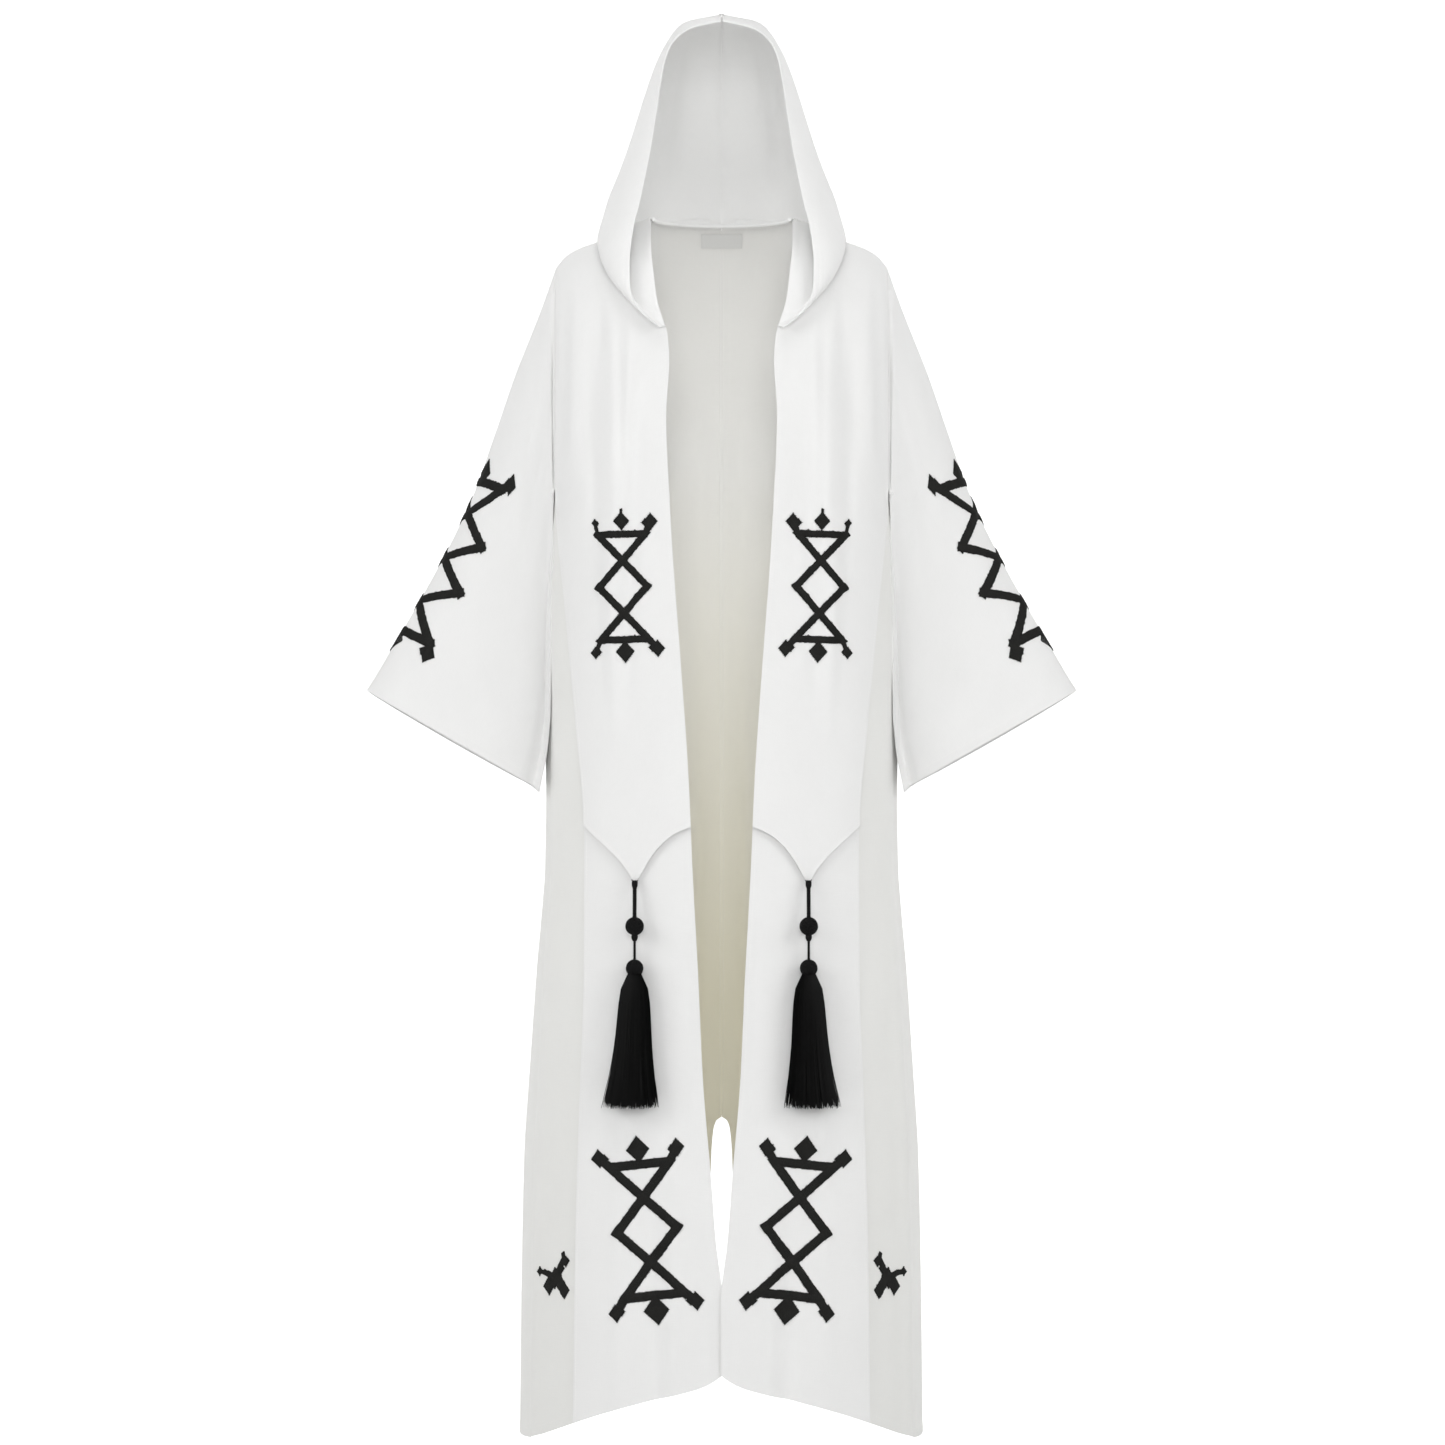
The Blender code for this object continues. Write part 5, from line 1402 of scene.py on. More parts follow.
UPPER_MOTIF = Motif(
    half_width=0.0282, corner=0.0620, crossing=0.031, band=0.0086, crossings=2,
    top=MotifEnd(
        Knob(0.0312, 0.0765, 0.0042, 0.0040), Knob(0.0345, 0.0760, 0.0080, 0.0086),
        diamond_up=0.0775, diamond=0.0094, nub=0.0065),
    bottom=MotifEnd(
        Knob(0.0350, 0.0765, 0.0054, 0.0060), Knob(0.0385, 0.0735, 0.0080, 0.0086),
        diamond_up=0.0762, diamond=0.0112, nub=0.0))
LOWER_MOTIF = Motif(
    half_width=0.0355, corner=0.0770, crossing=0.038, band=0.0112, crossings=2,
    top=MotifEnd(
        Knob(0.0470, 0.0885, 0.0108, 0.0094), Knob(0.0462, 0.0925, 0.0104, 0.0092),
        diamond_up=0.0945, diamond=0.0138, nub=0.0),
    bottom=MotifEnd(
        Knob(0.0480, 0.0930, 0.0108, 0.0090), Knob(0.0478, 0.0885, 0.0108, 0.0096),
        diamond_up=0.0945, diamond=0.0148, nub=0.0))
SLEEVE_MOTIF = Motif(
    half_width=0.0500, corner=0.1005, crossing=0.0598, band=0.0114, crossings=3,
    top=even_end(Knob(0.0545, 0.1125, 0.0112, 0.0100), diamond_up=0.1125, diamond=0.0145),
    bottom=even_end(Knob(0.0650, 0.1110, 0.0122, 0.0112), diamond_up=0.1125, diamond=0.0145))
UPPER_MOTIF_PLACE = (0.1158, -0.4165)
UPPER_MOTIF_TILT = math.radians(1.8)
LOWER_MOTIF_PLACE = (0.0876, -1.1705)
LOWER_MOTIF_TILT = math.radians(6.8)
SLEEVE_MOTIF_PLACE = (0.010, 0.3735)
SLEEVE_MOTIF_TILT = math.radians(-4.5)
SLEEVE_MOTIF_SLOPE = math.radians(3.5)
GORE_MOTIF_PLACE = (0.0555, -1.2465)
DIAMOND_STRETCH = 1.15
# Steps of a diamond's outline
STAIR = 0.0017
# Share of a stroke's half width that the bed under its threads takes
BED_HALF = 0.46
BED_STEP = 0.006
BED_LIFT = 0.00012

# Form of one thread from end to end: the place along it, its height and its radius
THREAD_FORM = table(
    "share height radius",
    (0.00, 0.05, 0.35),
    (0.12, 0.75, 0.62),
    (0.50, 1.00, 0.66),
    (0.88, 0.75, 0.62),
    (1.00, 0.05, 0.35),
)


def crossed_figure(m):
    """Strokes and diamonds of two zigzag bands that cross on the middle line, barred and
    hooked at both ends. A stroke is its start, end and width, a diamond its centre and half."""
    levels = np.linspace(-m.crossing, m.crossing, m.crossings)
    middles = list((levels[:-1] + levels[1:]) / 2)
    bar = m.half_width - m.band / 2
    strokes = []
    diamonds = []
    for hand in (-1, 1):
        line = [(hand * m.half_width, -m.corner)]
        across = hand
        for level, middle in zip(levels, middles + [m.corner]):
            across = -across
            line.append((0.0, level))
            line.append((across * m.half_width, middle))
        strokes += [(start, end, m.band) for start, end in zip(line, line[1:])]
    for up, end in ((1, m.top), (-1, m.bottom)):
        strokes.append(((-bar, up * m.corner), (bar, up * m.corner), m.band))
        diamonds.append(((0.0, up * end.diamond_up), end.diamond))
        if end.nub:
            tip = up * (end.diamond_up + end.diamond)
            strokes.append(((0.0, tip), (0.0, tip + up * end.nub / 2), end.nub / 2))
        for hand, knob in ((1, end.outer), (-1, end.inner)):
            middle = (hand * knob.out, up * knob.up)
            strokes.append(((hand * m.half_width, up * m.corner), middle, knob.width))
            diamonds.append((middle, knob.size))
            hook = (middle[0] - hand * knob.size * 0.75, middle[1] - up * knob.size * 0.15)
            diamonds.append((hook, knob.size * 0.5))
    return strokes, diamonds


def gore_figure():
    """End of the same figure as it shows on the gore: a heart with barbed arms."""
    strokes = [((0.0, 0.0), (-0.0113, 0.0165), 0.0088),
               ((-0.0145, 0.0150), (-0.0123, 0.0255), 0.0050),
               ((0.0029, 0.0030), (0.0160, 0.0095), 0.0068),
               ((0.0160, 0.0095), (0.0239, 0.0122), 0.0054),
               ((-0.0044, -0.0020), (-0.0145, -0.0185), 0.0118)]
    diamonds = [((0.0, 0.0), 0.0112), ((0.0090, -0.0060), 0.0110),
                ((0.0258, 0.0130), 0.0048), ((-0.0167, 0.0160), 0.0056),
                ((-0.0151, -0.0215), 0.0060), ((-0.0094, 0.0085), 0.0056)]
    return strokes, diamonds


def directions(start, end):
    """Unit vectors along and across a stroke."""
    along = unit(end - start)
    return along, np.array([-along[1], along[0]])


def threads_of(figure, pitch, rng):
    """Threads laid across every stroke and diamond: the two ends of each, in the figure's own
    plane. Their ends are a little uneven, as stitches are."""
    strokes, diamonds = figure
    strokes = [(np.array(start), np.array(end), band) for start, end, band in strokes]
    ends = []
    for start, end, band in strokes:
        along, across = directions(start, end)
        length = np.linalg.norm(end - start) + band
        count = max(3, int(length / pitch))
        at = np.linspace(0.0, length, count)[:, None]
        middle = start - along * band / 2 + along * at
        steps = rng.uniform(-0.0005, 0.0004, (count // 4 + 1, 2)).repeat(4, axis=0)[:count]
        half = band / 2 + steps + rng.uniform(-0.00022, 0.00022, (count, 2))
        slant = along * pitch * 0.8
        ends.append(np.stack([middle - across * half[:, :1] - slant,
                              middle + across * half[:, 1:] + slant], axis=1))
    for centre, half_size in diamonds:
        tall = half_size * DIAMOND_STRETCH
        count = max(4, int(2 * tall / pitch))
        up = np.linspace(-tall, tall, count)
        stair = np.round((1 - np.abs(up) / tall) * half_size / STAIR) * STAIR
        wide = np.maximum(stair, 0.0006) + rng.uniform(-0.0001, 0.0004, count)
        left = np.stack([centre[0] - wide, centre[1] + up - pitch * 0.4], axis=1)
        right = np.stack([centre[0] + wide, centre[1] + up + pitch * 0.4], axis=1)
        ends.append(np.stack([left, right], axis=1))
    return np.concatenate(ends)


def bed_of(figure):
    """Flat strips under the threads, as grids of places in the figure's plane."""
    strokes, diamonds = figure
    strokes = [(np.array(start), np.array(end), band) for start, end, band in strokes]
    beds = []
    for start, end, band in strokes:
        along, across = directions(start, end)
        across = across * band * BED_HALF
        count = max(2, int(np.linalg.norm(end - start) / BED_STEP) + 2)
        line = np.linspace(start - along * band / 2, end + along * band / 2, count)
        beds.append(np.stack([line - across, line, line + across], axis=1))
    for centre, half_size in diamonds:
        tall = half_size * DIAMOND_STRETCH
        up = np.linspace(-tall * 0.96, tall * 0.96, 5)
        wide = half_size * (1 - np.abs(up) / tall)
        beds.append(np.stack([np.stack([centre[0] + wide * share, centre[1] + up], axis=1)
                              for share in (-1.0, 0.0, 1.0)], axis=1))
    return beds


def embroider(name, node, figure, cloth, place, side, settings, seed):
    """The figure's threads and the bed they lie on, fitted to the cloth."""
    rng = np.random.default_rng(seed)
    ends = threads_of(figure, settings.pitch, rng)
    shares, heights, radii = np.array(THREAD_FORM).T
    flat = ends[:, :1] * (1 - shares)[None, :, None] + ends[:, 1:] * shares[None, :, None]
    rows, cols = place(flat[..., 0], flat[..., 1])
    points, normals = cloth.at(rows, cols)
    uneven = rng.uniform(0.85, 1.15, (len(points), 1, 1))
    points = points + normals * ((heights * settings.rise)[None, :, None] * uneven)
    parts = [tubes(points, normals, settings.pitch * radii, 4)]
    for number, bed in enumerate(bed_of(figure)):
        rows, cols = place(bed[..., 0], bed[..., 1])
        base, out = cloth.at(rows, cols)
        low = base + out * BED_LIFT
        high = base + out * (settings.rise * 0.5 + 0.00001 * number)
        many, wide = bed.shape[:2]
        faces = grid_faces(many, wide, False)
        faces += grid_faces(many, wide, False, many * wide, True)
        rim = [(row, 0) for row in range(many)] + [(many - 1, col) for col in range(1, wide)]
        rim += [(row, wide - 1) for row in range(many - 2, -1, -1)]
        rim += [(0, col) for col in range(wide - 2, -1, -1)]
        faces += wall_faces(rim, wide, many * wide)
        parts.append((np.concatenate([low.reshape(-1, 3), high.reshape(-1, 3)]), faces))
    points, faces = joined(parts)
    piece = add_mesh(name, points, faces, finish_of("figure"), side)
    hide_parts(node)
    return piece


def tilted(place, centre, tilt=0.0, slope=None):
    """Puts a figure's own across and up at a centre, leaned outwards at its top by tilt. slope
    is the fall of its cross lines, the same as the lean unless it is given."""
    slope = tilt if slope is None else slope

    def moved_place(across, up):
        x = centre[0] + across * math.cos(tilt) + up * math.sin(tilt)
        z = centre[1] - across * math.sin(slope) + up * math.cos(slope)
        return place(x, z)
    return moved_place


def around_tube(cloth):
    """Finds a place on a tube by its distance round it from the ridge and down along it,
    square to the ridge although the tube's own rings slope down from there."""
    rows, cols = cloth.points.shape[:2]
    down = cloth.lengths(0)[:, 0]
    reach = cols // 2
    order = np.arange(-reach, reach + 1)
    ring = cloth.points[:, order % cols]
    steps = np.linalg.norm(np.diff(ring, axis=1), axis=2)
    arcs = np.concatenate([np.zeros((rows, 1)), np.cumsum(steps, axis=1)], axis=1)
    arcs -= arcs[:, reach:reach + 1]
    ridge = cloth.points[:, 0]
    sunk = np.einsum("rcx,rx->rc", ring - ridge[:, None], unit(np.gradient(ridge, axis=0)))

    def place(across, along):
        near = np.ravel(np.round(np.interp(along, down, np.arange(rows))).astype(int))
        col = [np.interp(a, arcs[n], order) for a, n in zip(np.ravel(across), near)]
        back = [np.interp(c, order, sunk[n]) for c, n in zip(col, near)]
        row = np.interp(along - np.reshape(back, np.shape(along)), down, np.arange(rows))
        return row, np.reshape(col, np.shape(across))

    return place


def along_rows(cloth):
    """Finds a place by its distance across from the seam side of a piece and its height."""
    rows, cols = cloth.points.shape[:2]
    heights = -cloth.points[:, cols // 2, 2]
    along = cloth.lengths(1)

    def place(across, height):
        row = np.interp(-height, heights, np.arange(rows))
        near = np.round(row).astype(int)
        col = [np.interp(a, along[n], np.arange(cols))
               for a, n in zip(np.ravel(across), np.ravel(near))]
        return row, np.reshape(col, np.shape(across))

    return place


class KAFTAN_OT_figures(KaftanOperator, bpy.types.Operator):
    """Dark embroidered figures on the fronts, sleeves and gores"""
    bl_idname = "kaftan.figures"
    bl_label = "Figures"

    def build(self, cloth, scene):
        settings = scene.kaftan_figure
        for label, side in SIDES:
            upper = upper_front(side)
            lower = lower_front(side)
            tube = sleeve(side)
            gore = side_gore(side)
            jobs = (
                ("upper", crossed_figure(UPPER_MOTIF), upper.cloth,
                 tilted(upper.place, UPPER_MOTIF_PLACE, UPPER_MOTIF_TILT)),
                ("lower", crossed_figure(LOWER_MOTIF), lower.cloth,
                 tilted(lower.place, LOWER_MOTIF_PLACE, LOWER_MOTIF_TILT)),
                ("sleeve", crossed_figure(SLEEVE_MOTIF), tube,
                 tilted(around_tube(tube), SLEEVE_MOTIF_PLACE, SLEEVE_MOTIF_TILT,
                        SLEEVE_MOTIF_SLOPE)),
                ("gore", gore_figure(), gore, tilted(along_rows(gore), GORE_MOTIF_PLACE)),
            )
            for number, (kind, figure, laid_on, place) in enumerate(jobs):
                embroider(f"figure_{kind}_{label}", f"motif_{kind}_{label}", figure, laid_on, place,
                          side, settings, 10 * number + side + 1)


# Tassels

CORD_RADIUS = 0.0025
BEAD_RADIUS = 0.0107
BEAD_HEIGHT = -0.8147
HEAD_RADIUS = 0.0102
HEAD_HEIGHT = -0.8638
SKIRT_ROOT_HEIGHT = -0.871
TASSEL_LEAN = 0.004
LINK_RADIUS = 0.0017
GOLDEN_ANGLE = math.radians(137.508)
TASSEL_FORM = table(
    "height radius",
    (-0.8720, 0.0078),
    (-0.8780, 0.0115),
    (-0.8850, 0.0148),
    (-0.8950, 0.0170),
    (-0.9150, 0.0190),
    (-0.9500, 0.0215),
    (-0.9900, 0.0262),
    (-1.0235, 0.0325),
)
tassel_radius_at = column(TASSEL_FORM, "height", "radius")
# Radius and height of the core that the yarns hang round
TASSEL_CORE = ((0.0050, -0.8700), (0.0085, -0.8800), (0.0100, -0.8900), (0.0080, -0.9300),
               (0.0020, -0.9600))
# Radius of a collar of thread, and how far below its top
CORD_COLLAR = ((0.0030, -0.0005), (0.0036, 0.002), (0.0034, 0.006), (0.0026, 0.008))
LINK_COLLAR = ((0.0030, 0.0), (0.0040, 0.002), (0.0036, 0.005), (0.0020, 0.008))
# Two loose ends of the cord where it is sewn on
CORD_ENDS = (((0.0, 0.0, 0.0), (0.0022, -0.001, 0.0012), (0.0036, -0.001, 0.0034)),
             ((0.0, 0.0, 0.0), (-0.0022, -0.001, 0.0010), (-0.0040, -0.001, 0.0026)))
YARN_TAPER = (1.3, 1.3, 1.2, 1.1, 1.0, 1.0, 1.0, 0.95, 0.9, 0.5)


def lathe(profile, centre, sides=28):
    """Points and faces of a turned solid about a vertical line, from top to foot."""
    profile = np.array(profile)
    turns = 2 * math.pi * np.arange(sides) / sides
    ring = np.stack([np.cos(turns), np.sin(turns)], axis=1)
    points = np.zeros((len(profile), sides, 3))
    points[..., 0] = centre[0] + profile[:, :1] * ring[None, :, 0]
    points[..., 1] = centre[1] + profile[:, :1] * ring[None, :, 1]
    points[..., 2] = profile[:, 1:]
    return points.reshape(-1, 3), [face[::-1] for face in tube_faces(len(profile), sides)]


def wound_ball(radius, height, centre, seed, turns=16):
    """A ball wound with thread: a smooth core and loops of thread round it at many angles."""
    rng = np.random.default_rng(seed)
    angles = np.linspace(math.radians(10), math.radians(170), 13)
    inner = radius * 0.93
    core = [(inner * math.sin(a), height + inner * math.cos(a)) for a in angles]
    parts = [lathe(core, centre)]
    loop = np.linspace(0, 2 * math.pi, 29)
    for number in range(turns):
        axis = unit(np.array([rng.normal(), rng.normal(), rng.normal() * 1.6 + 1.2]))
        first = unit(np.cross(axis, (0.3, 0.5, 0.1)))
        second = np.cross(axis, first)
        shift = rng.uniform(-0.75, 0.75)
        size = math.sqrt(1 - shift * shift)
        around = first * np.cos(loop)[:, None] * size + second * np.sin(loop)[:, None] * size
        around = around + axis * shift
        path = np.array([centre[0], centre[1], height]) + around * radius * 0.95
        parts.append(tubes(path[None], around[None], radius * 0.075, 5))
    return joined(parts)


def twisted_cord(start, end, radius, plies=2, pitch=0.006):
    """Plies of yarn twisted round each other along a straight line."""
    start = np.array(start)
    end = np.array(end)
    length = np.linalg.norm(end - start)
    steps = max(8, int(length / 0.0007))
    share = np.linspace(0, 1, steps)
    parts = []
    for ply in range(plies):
        turn = 2 * math.pi * (share * length / pitch + ply / plies)
        path = start + (end - start) * share[:, None]
        path = path + np.stack([np.cos(turn), np.sin(turn), turn * 0], axis=1) * radius * 0.5
        parts.append(tubes(path[None], np.array([0.0, -1.0, 0.05]), radius * 0.56, 6))
    return joined(parts)


def yarn_piece(name, parts, side):
    """One piece of dark yarn from several parts."""
    points, faces = joined(parts)
    return add_mesh(name, points, faces, finish_of("tassel"), side)


class KAFTAN_OT_tassels(KaftanOperator, bpy.types.Operator):
    """Cords, wound balls and tassels at the points of the upper fronts"""
    bl_idname = "kaftan.tassels"
    bl_label = "Tassels"

    def build(self, cloth, scene):
        for label, side in SIDES:
            self.tassel(scene.kaftan_tassel, label, side)

    def strands(self, settings, top, foot_y, rng):
        """Threads from under the head, close together, flared and ragged at their foot."""
        count = settings.strands
        number = np.arange(count)
        out = np.sqrt((number + 0.5) / count)
        turn = number * GOLDEN_ANGLE
        level = np.linspace(0.0, 1.0, 10)
        end = TASSEL_FORM[-1].height + rng.uniform(-0.004, 0.004, count) - 0.0015 * (1 - out)
        z = SKIRT_ROOT_HEIGHT + (end[:, None] - SKIRT_ROOT_HEIGHT) * level
        radius = tassel_radius_at(z) * out[:, None]
        sway = rng.normal(0, 0.0011, (count, 2))
        fan = level ** 2
        x = OGEE_TIP_ACROSS + radius * np.cos(turn)[:, None] + sway[:, :1] * fan + TASSEL_LEAN * fan
        centre = top[1] + (foot_y - top[1]) * level
        flat = 0.85 - 0.33 * level
        y = centre + radius * np.sin(turn)[:, None] * flat + sway[:, 1:] * fan * 0.5
        path = np.stack([x, y, z], axis=2)
        widths = settings.strand_radius * np.array(YARN_TAPER)
        return tubes(path, np.array([0.0, -1.0, 0.02]), widths, 3)

    def tassel(self, settings, label, side):
        """One tassel with its cord, ball and link, at the places of their solids."""
        rng = np.random.default_rng(31 + side)
        bead_low, bead_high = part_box("tassel_bead_" + label)
        _, cord_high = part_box("tassel_cord_" + label)
        skirt_low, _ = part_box("tassel_" + label)
        y = (bead_low.y + bead_high.y) / 2
        centre = (OGEE_TIP_ACROSS, y)

        start = (OGEE_TIP_ACROSS, cord_high.y - CORD_RADIUS * 1.1, cord_high.z)
        cord = twisted_cord(start, (*centre, BEAD_HEIGHT + BEAD_RADIUS * 0.9), CORD_RADIUS)
        collar = lathe([(radius, cord_high.z - down) for radius, down in CORD_COLLAR],
                       (OGEE_TIP_ACROSS, start[1] - 0.0003), 16)
        tied_at = np.array([OGEE_TIP_ACROSS, start[1] - 0.0022, cord_high.z - 0.0015])
        ends = np.array(CORD_ENDS) + tied_at
        tuft = tubes(ends, np.array([0.0, -1.0, 0.05]), (0.0011, 0.0010, 0.0006), 6)
        piece = yarn_piece("cord_" + label, [cord, collar, tuft], side)
        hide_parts("tassel_cord_" + label)

        ball = wound_ball(BEAD_RADIUS, BEAD_HEIGHT, centre, 5 + side, 26)
        piece = yarn_piece("ball_" + label, [ball], side)
        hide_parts("tassel_bead_" + label)

        link_top = BEAD_HEIGHT - BEAD_RADIUS * 0.9
        neck = lathe([(radius, link_top - down) for radius, down in LINK_COLLAR], centre, 16)
        link_foot = HEAD_HEIGHT + HEAD_RADIUS * 0.9
        link = twisted_cord((*centre, link_top - 0.004), (*centre, link_foot), LINK_RADIUS)
        piece = yarn_piece("link_" + label, [neck, link], side)
        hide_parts("tassel_link_" + label)

        head = wound_ball(HEAD_RADIUS, HEAD_HEIGHT, centre, 9 + side, 22)
        foot_y = y + (skirt_low.y - y) * 0.35
        core = lathe(TASSEL_CORE, centre, 20)
        parts = [head, core, self.strands(settings, centre, foot_y, rng)]
        piece = yarn_piece("tassel_of_yarn_" + label, parts, side)
        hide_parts("tassel_" + label)


# Neck

# The label lies in front of the solid's inner face
LABEL_OFFSET = 0.0018 + 0.0012
LABEL_THICKNESS = 0.0005
LABEL_FOLD = 0.0003
LABEL_FOLD_WIDTH = 0.002
NECK_SEAM_INSET = 0.0034
NECK_SEAM_LIFT = 0.0009
NECK_SEAM_RADIUS = 0.0023
NECK_SEAM_END = 96


class KAFTAN_OT_neck(KaftanOperator, bpy.types.Operator):
    """Blank label and bound seam inside the back of the neck"""
    bl_idname = "kaftan.neck"
    bl_label = "Neck"

    def build(self, cloth, scene):
        low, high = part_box("neck_label")
        x, z = np.meshgrid(np.linspace(low.x, high.x, 33), np.linspace(high.z, low.z, 12))
        inside = back_y(np.abs(x), z) - LABEL_OFFSET
        label = Cloth(np.stack([x, inside, z], axis=2), 1)
        fold = LABEL_FOLD * sum(bump(label.from_edge(edge), LABEL_FOLD_WIDTH, LABEL_FOLD_WIDTH)
                                for edge in ("first", "last"))
        piece = shell("blank_label", label, cloth, finish_of("label"), 1, fold,
                      LABEL_THICKNESS)
        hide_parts("neck_label")
        turns = np.radians(np.linspace(-NECK_SEAM_END, NECK_SEAM_END, 90))
        x = (NECK_HALF_WIDTH - NECK_SEAM_INSET) * np.sin(turns)
        y = (NAPE_DEPTH - NECK_SEAM_INSET) * np.cos(turns)
        z = top_height(np.abs(x)) + NECK_SEAM_LIFT
        path = np.stack([x, y, z], axis=1)[None]
        points, faces = tubes(path, np.array([0.0, 0.1, 1.0]), NECK_SEAM_RADIUS, 8)
        add_mesh("neck_seam", points, faces, finish_of("muslin"), 1)


# Stage

CAMERA_PLACE = (0.001, -6.0, -0.576)
CAMERA_LENS = 124.6
CAMERA_SENSOR = 36.0
CAMERA_REACH = 60.0
# The floor ends behind in a wide curve up to the wall
FLOOR_HEIGHT = -1.52
FLOOR_REACH = 9.0
FLOOR_BACK = 1.2
CURVE_RADIUS = 3.0
WALL_TOP = 7.0
SKY_STRENGTH = 0.16
# The paper turns from grey to glowing white between these distances behind the middle
PAPER_START = -0.1
PAPER_END = 0.5

LIGHTS = table(
    "name place target size power",
    ("front", (0.0, -6.6, 1.2), (0.0, 0.0, -0.4), 2.2, 111.0),
    ("left", (-3.6, -2.6, 1.0), (0.0, 0.0, -0.4), 2.4, 66.0),
    ("right", (3.6, -2.6, 1.0), (0.0, 0.0, -0.4), 2.4, 63.0),
    ("top", (0.0, -1.4, 3.2), (0.0, 0.0, -0.2), 2.4, 46.0),
)
# Soft lamps in the openings of the garment, out of the camera's sight
INNER_LIGHTS = table(
    "name place size power",
    ("inside_body", (0.0, -0.095, -0.620), (0.05, 1.18), 0.36),
    ("inside_hood", (0.0, -0.075, 0.130), (0.07, 0.16), 0.029),
)


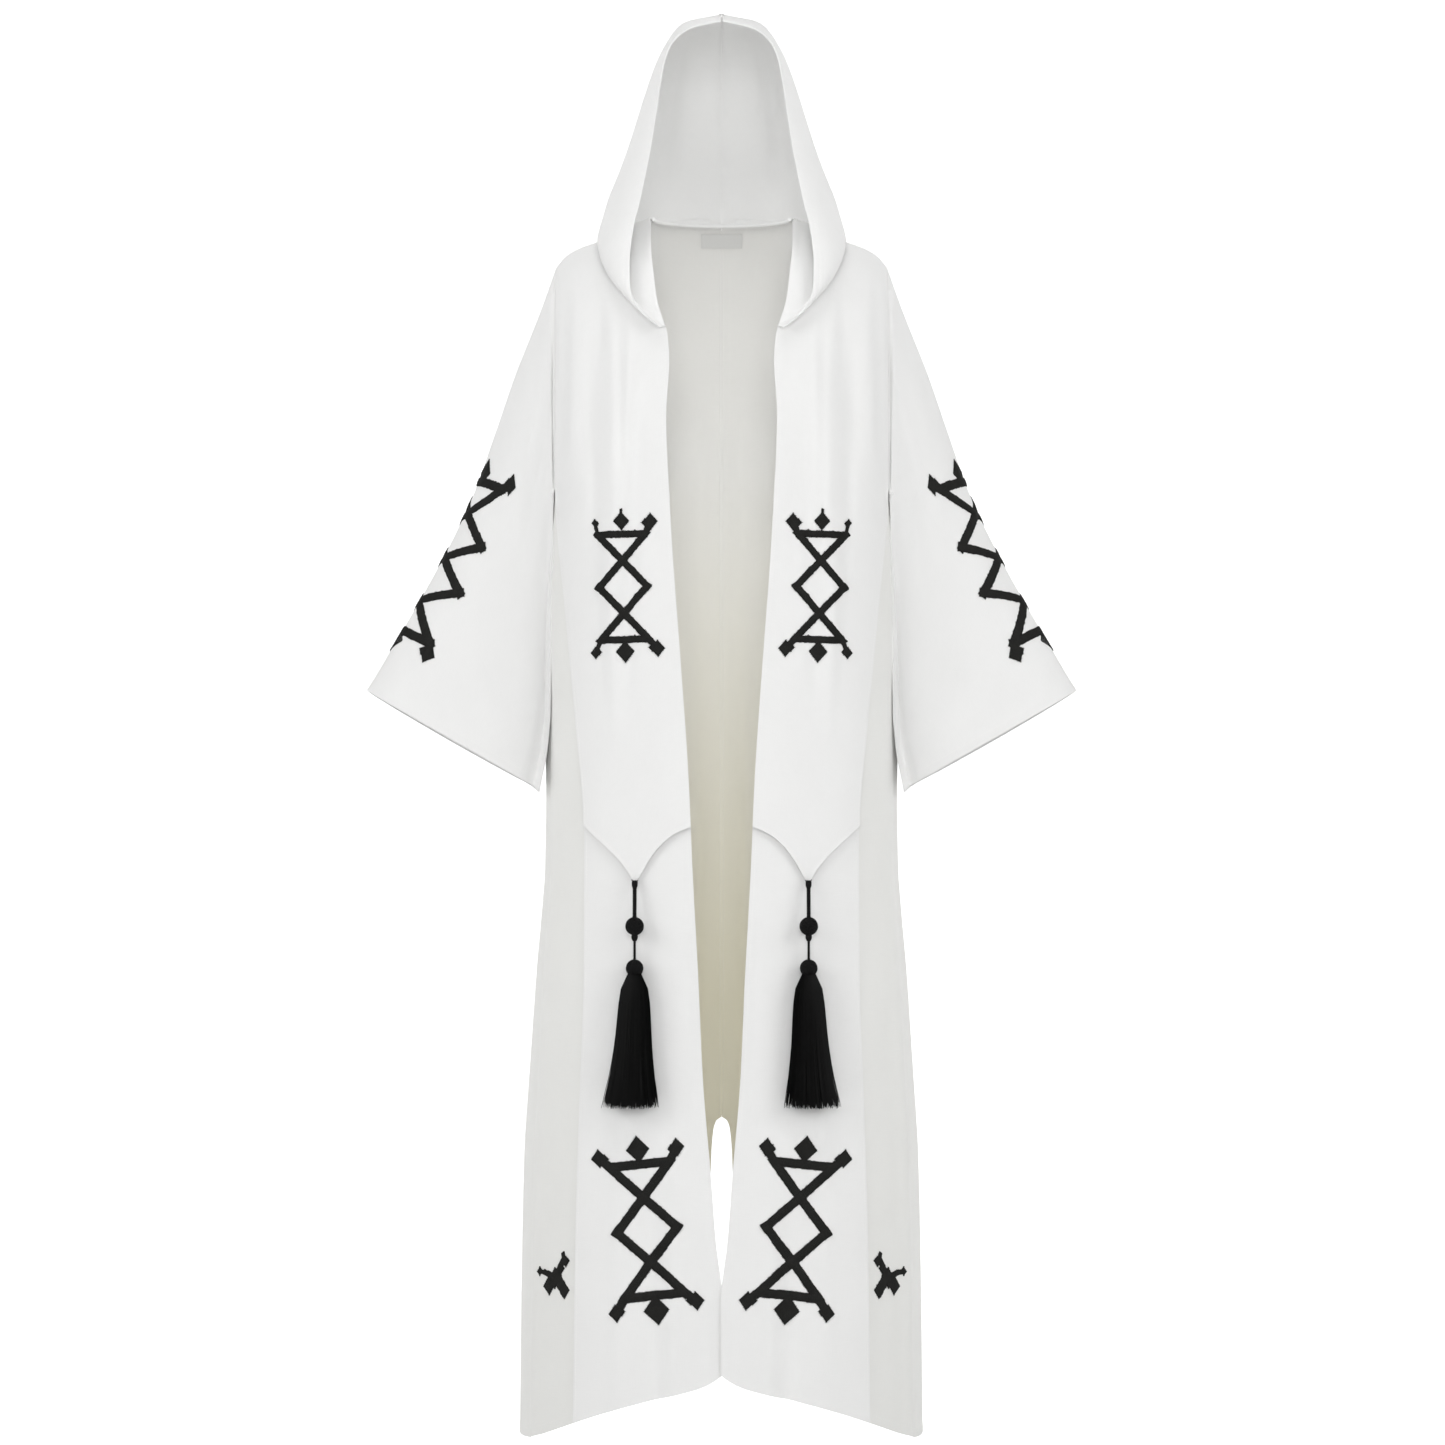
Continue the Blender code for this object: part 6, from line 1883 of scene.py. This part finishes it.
class KAFTAN_OT_stage(bpy.types.Operator):
    """Camera, soft studio light and a plain pale floor that curves up behind"""
    bl_idname = "kaftan.stage"
    bl_label = "Stage"

    def execute(self, context):
        scene = context.scene
        scene.view_settings.view_transform = "Standard"
        camera = bpy.data.objects.new("camera", bpy.data.cameras.new("camera"))
        camera.data.sensor_width = CAMERA_SENSOR
        camera.data.lens = CAMERA_LENS
        camera.data.clip_end = CAMERA_REACH
        camera.location = CAMERA_PLACE
        camera.rotation_euler = (math.radians(90), 0.0, 0.0)
        scene.collection.objects.link(camera)
        scene.camera = camera
        for row in LIGHTS:
            aim = (Vector(row.target) - Vector(row.place)).to_track_quat("-Z", "Y").to_euler()
            lamp = self.light(row.name, row.place, aim, row.power)
            lamp.data.size = row.size
        for row in INNER_LIGHTS:
            lamp = self.light(row.name, row.place, (math.radians(90), 0.0, 0.0), row.power)
            lamp.data.shape = "RECTANGLE"
            lamp.data.size, lamp.data.size_y = row.size
            lamp.visible_camera = False
        world = bpy.data.worlds.new("studio")
        world.use_nodes = True
        ground = world.node_tree.nodes["Background"]
        ground.inputs["Color"].default_value = (1.0, 1.0, 1.0, 1.0)
        ground.inputs["Strength"].default_value = SKY_STRENGTH
        scene.world = world
        self.backdrop(scene)
        return {"FINISHED"}

    def light(self, name, place, turned, power):
        """An area lamp."""
        data = bpy.data.lights.new(name, "AREA")
        data.energy = power
        lamp = bpy.data.objects.new(name, data)
        lamp.location = place
        lamp.rotation_euler = turned
        bpy.context.scene.collection.objects.link(lamp)
        return lamp

    def paper(self):
        """White paper, which glows a little behind the garment so that it stays white there."""
        shader = Shader("kaftan_backdrop")
        place = shader.node("ShaderNodeNewGeometry")
        back = shader.node("ShaderNodeSeparateXYZ", inputs={"Vector": place}).other("Y")
        behind = shader.node("ShaderNodeMapRange", inputs={
            "Value": back, "From Min": PAPER_START, "From Max": PAPER_END})
        glow = shader.mix(behind, (0.0, 0.0, 0.0, 1.0), (1.0, 1.0, 1.0, 1.0))
        shader.put(shader.surface.inputs["Emission Color"], glow)
        # The wall is clear from behind, so that a view from there isn't blocked
        seen_from_behind = shader.node("ShaderNodeNewGeometry", output=6)
        shader.put(shader.surface.inputs["Alpha"], 1.0 - seen_from_behind)
        white = shader.mix(behind, (0.82, 0.82, 0.82, 1.0), (0.96, 0.96, 0.96, 1.0))
        return shader.finish(white, 0.9, Emission_Strength=0.6)

    def backdrop(self, scene):
        """One sheet: floor, a wide curve and a wall."""
        turns = np.radians(np.linspace(0, 90, 25))
        line = [(-FLOOR_REACH, FLOOR_HEIGHT), (FLOOR_BACK, FLOOR_HEIGHT)]
        for turn in turns[1:]:
            line.append((FLOOR_BACK + CURVE_RADIUS * math.sin(turn),
                         FLOOR_HEIGHT + CURVE_RADIUS * (1 - math.cos(turn))))
        line.append((FLOOR_BACK + CURVE_RADIUS, WALL_TOP))
        points = [(x, y, z) for y, z in line for x in (-FLOOR_REACH, FLOOR_REACH)]
        faces = [(2 * row, 2 * row + 1, 2 * row + 3, 2 * row + 2) for row in range(len(line) - 1)]
        mesh = bpy.data.meshes.new("backdrop")
        mesh.from_pydata(points, [], faces)
        mesh.shade_smooth()
        mesh.materials.append(self.paper())
        sheet = bpy.data.objects.new("backdrop", mesh)
        scene.collection.objects.link(sheet)


SETTINGS = (("kaftan_cloth", ClothSettings), ("kaftan_figure", FigureSettings),
            ("kaftan_tassel", TasselSettings))
OPERATORS = (KAFTAN_OT_stage, KAFTAN_OT_fronts, KAFTAN_OT_back, KAFTAN_OT_gores, KAFTAN_OT_sleeves,
             KAFTAN_OT_hood, KAFTAN_OT_figures, KAFTAN_OT_tassels, KAFTAN_OT_neck)


class KAFTAN_PT_pieces(bpy.types.Panel):
    """Lists the pieces and their sizes"""
    bl_idname = "KAFTAN_PT_pieces"
    bl_label = "Muslin kaftan"
    bl_space_type = "VIEW_3D"
    bl_region_type = "UI"
    bl_category = "Kaftan"

    def draw(self, context):
        for group, _ in SETTINGS:
            settings = getattr(context.scene, group)
            box = self.layout.box()
            for name in settings.__annotations__:
                box.prop(settings, name)
        for operator in OPERATORS:
            self.layout.operator(operator.bl_idname)


def register():
    for name, group in SETTINGS:
        bpy.utils.register_class(group)
        setattr(bpy.types.Scene, name, bpy.props.PointerProperty(type=group))
    for made in OPERATORS + (KAFTAN_PT_pieces,):
        bpy.utils.register_class(made)


def unregister():
    for made in reversed(OPERATORS + (KAFTAN_PT_pieces,)):
        bpy.utils.unregister_class(made)
    for name, group in reversed(SETTINGS):
        delattr(bpy.types.Scene, name)
        bpy.utils.unregister_class(group)


def main():
    register()
    for made in OPERATORS:
        group, name = made.bl_idname.split(".")
        getattr(getattr(bpy.ops, group), name)()


if __name__ == "__main__":
    main()
